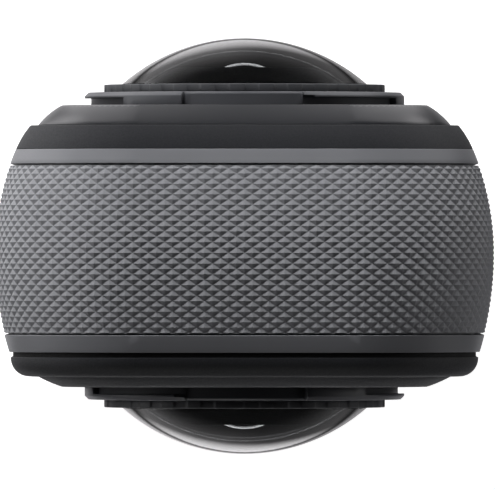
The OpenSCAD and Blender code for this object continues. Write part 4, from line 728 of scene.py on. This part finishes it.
coverOpenings = {
    "recess": ((-26.0, -22.0), (-2.3, 3.7), (57.8, 66.6)),
    "slot": ((-26.0, -18.0), (-0.5, 1.9), (60.2, 65.8)),
    "groove": ((-21.61, -20.0), (-6.9, 7.5), (10.2, 69.4)), "grooveWide": 0.7}
coverMesh = knurledStrip(crownKnurl, -outlineLength(housing["bandFoot"]),
                         -outlineLength(housing["coverTop"]), housing["coverDepth"])
cleaned(coverMesh)
wide = coverOpenings["grooveWide"]
inward, across, upright = coverOpenings["groove"]
island = block((inward[0] - wide, inward[1] + wide), (across[0] + wide, across[1] - wide),
               (upright[0] + wide, upright[1] - wide))
groove = carve(block(*coverOpenings["groove"]), [island])
coverMesh = carve(coverMesh, [block(*coverOpenings["recess"]), block(*coverOpenings["slot"]), groove])
print("knurl on the battery cover:", len(coverMesh.polygons), "faces, open edges",
      cleaned(coverMesh, weld["cut"]))
settle("batteryCover", coverMesh, "gripNylon", ["battery_cover"])

# Lenses: turned shapes on the lens axis, as (radius, distance out from the mid plane) in mm
lens = {"tip": 19.25, "radius": 17.2, "rim": 11.3, "seat": 14.0, "thick": 1.2, "hollow": 15.8, "around": 192,
        "innerRadius": 3.2, "innerDome": 4.8, "innerApex": 16.9, "innerSeat": 13.8, "outerSteps": 60,
        "hollowSteps": 40, "innerSteps": 30, "barrelEdge": 0.05}


def arcPoints(centre, radius, start, end, steps):  # start and end are angles from the axis, in radians
    angles = [start + (end - start) * i / steps for i in range(steps + 1)]
    return [(radius * math.sin(angle), centre + radius * math.cos(angle)) for angle in angles]


def lensAxis(side):  # places a turned point on one lens
    def place(radius, out, angle):
        return radius * math.cos(angle), side * out, housing["lensZ"] + radius * math.sin(angle)
    return place


def footAxis(radius, up, angle):  # places a turned point on the camera thread
    return radius * math.cos(angle), radius * math.sin(angle), up


def turned(profile, place, sharp=25):  # a closed or axis-to-axis profile turned about an axis
    bm = bmesh.new()
    around = lens["around"]
    onAxis = 1e-6
    rings = []
    for radius, out in profile:
        angles = [2 * math.pi * i / around for i in range(1 if radius < onAxis else around)]
        rings.append([bm.verts.new([value * mm for value in place(radius, out, angle)]) for angle in angles])
    pairs = list(zip(rings, rings[1:]))
    if len(rings[0]) > 1 or len(rings[-1]) > 1:
        pairs.append((rings[-1], rings[0]))
    for first, second in pairs:
        for i in range(around):
            j = (i + 1) % around
            corners = [first[i % len(first)], first[j % len(first)],
                       second[j % len(second)], second[i % len(second)]]
            corners = [vert for k, vert in enumerate(corners) if vert not in corners[:k]]
            if len(corners) > 2:
                bm.faces.new(corners)
    bmesh.ops.recalc_face_normals(bm, faces=bm.faces)
    for face in bm.faces:
        face.smooth = True
    mesh = written(bm, "turned")
    mesh.set_sharp_from_angle(angle=math.radians(sharp))
    return mesh


def domeProfile():
    centre = lens["tip"] - lens["radius"]
    hollowCentre = lens["tip"] - lens["thick"] - lens["hollow"]
    outer = arcPoints(centre, lens["radius"], 0, math.asin(lens["rim"] / lens["radius"]),
                      lens["outerSteps"])
    mouth = math.acos((lens["seat"] - hollowCentre) / lens["hollow"])
    inner = arcPoints(hollowCentre, lens["hollow"], mouth, 0, lens["hollowSteps"])
    return outer + [(lens["rim"], lens["seat"])] + inner


for side, place in ((-1, "front"), (1, "rear")):
    settle(place + "Dome", turned(domeProfile(), lensAxis(side)), "domeGlass", [place + "_dome"])
    settle(place + "Barrel", softMesh(nodes[place + "_lens_barrel"].data, lens["barrelEdge"]), "opticalBlack",
           [place + "_lens_barrel"])
    inner = arcPoints(lens["innerApex"] - lens["innerDome"], lens["innerDome"], 0,
                      math.asin(lens["innerRadius"] / lens["innerDome"]), lens["innerSteps"])
    inner += [(lens["innerRadius"], lens["innerSeat"]), (0, lens["innerSeat"])]
    settle(place + "InnerLens", turned(inner, lensAxis(side)), "coatedLens", [place + "_inner_lens"])
print("lenses")

# Housing pieces: merged copies of the solids with broken edges, in mm
softPieces = {
    "midFrame": ("mid_frame", 0.07, "paintedMagnesium"),
    "frontCover": ("front_cover", 0.08, "erodedPolycarbonate"),
    "rearCover": ("rear_cover", 0.06, "erodedPolycarbonate"),
    "frontDeck": ("front_deck", 0.1, "satinPolycarbonate"),
    "rearDeck": ("rear_deck", 0.1, "erodedPolycarbonate"),
    "frontBayonet": ("front_bayonet_ring", 0.06, "anodisedRing"),
    "rearBayonet": ("rear_bayonet_ring", 0.06, "anodisedRing"),
    "frontLensRing": ("front_lens_ring", 0.1, "blackAnodised"),
    "rearLensRing": ("rear_lens_ring", 0.1, "blackAnodised"),
    "frontPad": ("front_grip_pad", 0.12, "padElastomer"),
    "screenGlass": ("screen_glass", 0.2, "inkedGlass"),
    "shutterKey": ("shutter_button", 0.15, "redAbs"),
    "lensKey": ("lens_button", 0.15, "keyAbs"),
    "powerKey": ("power_button", 0.2, "keyAbs"),
    "quickKey": ("quick_button", 0.2, "keyAbs"),
    "portDoor": ("usb_door", 0.12, "erodedPolycarbonate"),
    "batteryLock": ("battery_latch", 0.12, "redAbs"),
    "basePlate": ("base_plate", 0.12, "brushedSteel"),
}
for name, (node, edge, finish) in softPieces.items():
    settle(name, softMesh(nodes[node].data, edge), finish, [node])
print("housing pieces:", len(softPieces))

# Ribs: round-ended bars in a row, shortened to a circle's chords where a circle is given
ribBall = {"Segments": 10, "Rings": 7}  # few faces, since there are many bars


def ribTree():
    tree, given = newTree("ribRows", {
        "Count": "Int", "Start": "Vector", "Step": "Vector", "Length": "Float", "Radius": "Float",
        "Shape": "Vector", "Circle": "Float", "Turn": "Vector", "Finish": "Material"})
    line = addNode(tree, "GeometryNodeMeshLine", links={
        "Count": given["Count"], "Start Location": given["Start"], "Offset": given["Step"]})
    # A ball of radius 1, with its halves drawn apart to the bar's length
    ball = addNode(tree, "GeometryNodeMeshUVSphere", ribBall)
    spot = addNode(tree, "ShaderNodeSeparateXYZ", links={
        0: addNode(tree, "GeometryNodeInputPosition")}).outputs
    side = addNode(tree, "ShaderNodeMath", {"operation": "SIGN"}, {0: spot["Z"]})
    ratio = addNode(tree, "ShaderNodeMath", {"operation": "DIVIDE"}, {0: given["Length"], 1: given["Radius"]})
    apart = addNode(tree, "ShaderNodeMath", {"operation": "MULTIPLY_ADD", 1: 0.5, 2: -1.0}, {0: ratio})
    shift = addNode(tree, "ShaderNodeMath", {"operation": "MULTIPLY"}, {0: side, 1: apart})
    offset = addNode(tree, "ShaderNodeCombineXYZ", links={"Z": shift})
    bar = addNode(tree, "GeometryNodeSetPosition", links={"Geometry": ball.outputs["Mesh"], "Offset": offset})
    # Chord of the circle at each bar
    index = addNode(tree, "GeometryNodeInputIndex")
    last = addNode(tree, "ShaderNodeMath", {"operation": "SUBTRACT", 1: 1.0}, {0: given["Count"]})
    middle = addNode(tree, "ShaderNodeMath", {"operation": "MULTIPLY_ADD", 1: -0.5}, {0: last, 2: index})
    stride = addNode(tree, "ShaderNodeVectorMath", {"operation": "LENGTH"}, {0: given["Step"]})
    away = addNode(tree, "ShaderNodeMath", {"operation": "MULTIPLY"}, {0: middle, 1: stride.outputs["Value"]})
    share = addNode(tree, "ShaderNodeMath", {"operation": "DIVIDE"}, {0: away, 1: given["Circle"]})
    square = addNode(tree, "ShaderNodeMath", {"operation": "MULTIPLY"}, {0: share, 1: share})
    rest = addNode(tree, "ShaderNodeMath", {"operation": "SUBTRACT", "use_clamp": True, 0: 1.0}, {1: square})
    chord = addNode(tree, "ShaderNodeMath", {"operation": "SQRT"}, {0: rest})
    isRound = addNode(tree, "ShaderNodeMath", {"operation": "GREATER_THAN", 1: 0.0}, {0: given["Circle"]})
    fit = addNode(tree, "ShaderNodeMix", {2: 1.0}, {0: isRound, 3: chord})
    long = addNode(tree, "ShaderNodeCombineXYZ", {"X": 1.0, "Y": 1.0}, {"Z": fit})
    shape = addNode(tree, "ShaderNodeVectorMath", {"operation": "MULTIPLY"}, {0: given["Shape"], 1: long})
    size = addNode(tree, "ShaderNodeVectorMath", {"operation": "SCALE"}, {0: shape, "Scale": given["Radius"]})
    bars = addNode(tree, "GeometryNodeInstanceOnPoints", links={
        "Points": line.outputs["Mesh"], "Instance": bar, "Rotation": given["Turn"], "Scale": size})
    smooth = addNode(tree, "GeometryNodeSetShadeSmooth", links={0: bars})
    endTree(tree, smooth, given["Finish"])
    return tree


def ribs(row, finish):  # one row, its sizes in mm
    return runTree(ribRows, {
        "Count": row["count"], "Start": [value * mm for value in row["start"]],
        "Step": [value * mm for value in row["step"]], "Length": row["long"] * mm,
        "Radius": row["radius"] * mm, "Shape": row.get("shape", (1.0, 1.0, 1.0)),
        "Circle": row.get("circle", 0.0) * mm, "Turn": row.get("turn", (0.0, 0.0, 0.0)),
        "Finish": finishes[finish]})


def joined(meshes):  # several meshes in one
    bm = bmesh.new()
    for mesh in meshes:
        bm.from_mesh(mesh)
    return written(bm, "joined")


ribRows = ribTree()
quarter = math.pi / 2

# Grip pad: soft ribs across it
padRow = {"count": 27, "start": (0, -11.4, 19), "step": (0, 0, 2), "long": 28, "radius": 0.62,
          "shape": (1, 0.45, 1), "turn": (0, quarter, 0)}
settle("padRibs", ribs(padRow, "padElastomer"), "padElastomer", like="front_grip_pad")

# Microphones: a woven wire disc in each hole
micCloth = {"places": (-14.0, 14.0), "z": 79.75, "face": -10.9, "radius": 1.42, "pitch": 0.26, "wire": 0.075,
            "lift": 0.05}
rows = []
for x in micCloth["places"]:
    count = int(2 * micCloth["radius"] / micCloth["pitch"])
    reach = (count - 1) / 2 * micCloth["pitch"]
    common = {"count": count, "long": 2 * micCloth["radius"], "radius": micCloth["wire"],
              "circle": micCloth["radius"]}
    rows.append(ribs({**common, "start": (x - reach, micCloth["face"], micCloth["z"]),
                      "step": (micCloth["pitch"], 0, 0)}, "brushedSteel"))
    rows.append(ribs({**common, "start": (x, micCloth["face"] - micCloth["lift"], micCloth["z"] - reach),
                      "step": (0, 0, micCloth["pitch"]), "turn": (0, quarter, 0)}, "brushedSteel"))
settle("micCloth", joined(rows), "brushedSteel", like="microphone_meshes")

# Battery lock: finger ridges across its knob
lockRow = {"count": 4, "start": (-22.85, 0.7, 59.6), "step": (0, 0, 1.1), "long": 4.4, "radius": 0.28,
           "shape": (0.5, 1, 1), "turn": (quarter, 0, 0)}
settle("lockRidges", ribs(lockRow, "redAbs"), "redAbs", like="battery_latch")

# Port door: three finger ridges near its free end
doorRow = {"count": 3, "start": (23.0, 0.7, 78.6), "step": (0, 0, 1.1), "long": 6, "radius": 0.3,
           "shape": (0.45, 1, 1), "turn": (quarter, 0, 0)}
settle("doorRidges", ribs(doorRow, "erodedPolycarbonate"), "erodedPolycarbonate", like="usb_door")

# Battery case: a moulding seam round its ends and its inner edge
seam = {"edge": 0.4, "wide": 0.25, "deep": 0.15, "past": 2.0, "sharp": 40}
caseLow, caseHigh = [[value / mm for value in corner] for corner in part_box("battery_pack")]
outside = [(caseLow[axis] - seam["past"], caseHigh[axis] + seam["past"]) for axis in (0, 2)]
inside = [(caseLow[0] - 2 * seam["past"], caseHigh[0] - seam["deep"]),
          (caseLow[2] + seam["deep"], caseHigh[2] - seam["deep"])]
seamRing = carve(block(outside[0], (-seam["wide"] / 2, seam["wide"] / 2), outside[1]),
                 [block(inside[0], (-seam["wide"], seam["wide"]), inside[1])])
caseMesh = carve(softMesh(nodes["battery_pack"].data, seam["edge"]), [seamRing])
caseMesh.set_sharp_from_angle(angle=math.radians(seam["sharp"]))
settle("batteryCase", caseMesh, "batteryShell", ["battery_pack"])

# Port: gold contacts on both faces of the socket's tongue
portRow = {"count": 7, "x": 16.4, "y": 0.7, "z": 71.3, "step": (0, 0, 0.9), "long": 3.0, "radius": 0.16,
           "shape": (1, 0.4, 1), "turn": (0, quarter, 0), "half": 0.35}
faces = []
for side in (-1, 1):
    start = (portRow["x"], portRow["y"] + side * portRow["half"], portRow["z"])
    faces.append(ribs({**portRow, "start": start}, "turnedBrass"))
settle("portContacts", joined(faces), "turnedBrass", like="usb_socket")

# Contacts: gold pads on the battery's inner end
contactRow = {"count": 4, "start": (13.5, -2.1, 60.0), "step": (0, 1.4, 0), "long": 5.0, "radius": 0.45,
              "shape": (0.15, 1, 1)}
settle("batteryContacts", ribs(contactRow, "turnedBrass"), "turnedBrass", like="battery_pack")

# Camera thread: the brass insert bored to the thread's root, and a ridge wound inside it
thread = {"root": 3.1, "crest": 2.56, "pitch": 1.27, "from": 0.75, "to": 5.9, "flange": 5.2,
          "flangeHigh": 1.0, "outer": 4.2, "high": 7.9, "deep": 6.5, "lead": 0.45, "break": 0.12,
          "around": 48, "sides": 4}
insert = [(0, thread["deep"]), (thread["root"], thread["deep"]), (thread["root"], thread["lead"]),
          (thread["root"] + thread["lead"], 0), (thread["flange"] - thread["break"], 0),
          (thread["flange"], thread["break"]), (thread["flange"], thread["flangeHigh"]),
          (thread["outer"], thread["flangeHigh"]), (thread["outer"], thread["high"]), (0, thread["high"])]
settle("tripodInsert", turned(insert, footAxis), "turnedBrass", ["tripod_insert"])


def threadTree():
    tree, given = newTree("threadRidge", {
        "Turns": "Float", "Radius": "Float", "Height": "Float", "Ridge": "Float", "Start": "Vector",
        "Finish": "Material"})
    path = addNode(tree, "GeometryNodeCurveSpiral", {"Resolution": thread["around"]}, {
        "Rotations": given["Turns"], "Start Radius": given["Radius"], "End Radius": given["Radius"],
        "Height": given["Height"]})
    section = addNode(tree, "GeometryNodeCurvePrimitiveCircle", {"Resolution": thread["sides"]},
                      {"Radius": given["Ridge"]})
    ridge = addNode(tree, "GeometryNodeCurveToMesh", {"Fill Caps": True},
                    {"Curve": path, "Profile Curve": section})
    placed = addNode(tree, "GeometryNodeSetPosition", links={"Geometry": ridge, "Offset": given["Start"]})
    endTree(tree, placed, given["Finish"])
    return tree


ridgeHeight = thread["to"] - thread["from"]
ridge = thread["root"] - thread["crest"]
ridgeMesh = runTree(threadTree(), {
    "Turns": ridgeHeight / thread["pitch"], "Radius": thread["root"] * mm, "Height": ridgeHeight * mm,
    "Ridge": ridge * mm, "Start": (0.0, 0.0, thread["from"] * mm), "Finish": finishes["turnedBrass"]})
settle("threadRidge", ridgeMesh, "turnedBrass", like="tripod_insert")

# Base screws: a hexagon socket in each head
socket = {"places": (-10.0, 10.0), "radius": 0.78, "deep": 1.0, "past": 0.2, "edge": 0.14, "sides": 6,
          "sharp": 40}
hexagons = []
for x in socket["places"]:
    angles = [2 * math.pi * i / socket["sides"] for i in range(socket["sides"])]
    corners = [(x + socket["radius"] * math.cos(angle), socket["radius"] * math.sin(angle))
               for angle in angles]
    hexagons.append(prism(*([(*corner, z) for corner in corners] for z in (-socket["past"], socket["deep"]))))
screwMesh = carve(softMesh(nodes["base_screws"].data, socket["edge"]), hexagons)
screwMesh.set_sharp_from_angle(angle=math.radians(socket["sharp"]))
settle("baseScrews", screwMesh, "brushedSteel", ["base_screws"])
print("details")

# Every other solid keeps its shape and gets its finish
finishOfSlot = {
    "alloy": "castAlloy", "barrel_black": "opticalBlack", "brass": "turnedBrass", "card": "keyAbs",
    "circuit_board": "solderMask", "display": "darkPanel", "gasket_rubber": "siliconeRubber",
    "lens_glass": "coatedLens", "light_window": "opalWindow", "steel": "brushedSteel",
}
for node, piece in nodes.items():
    if not piece.hide_render:
        piece.material_slots[0].material = finishes[finishOfSlot[slotOf[node]]]
print("finishes on the solids that stay")
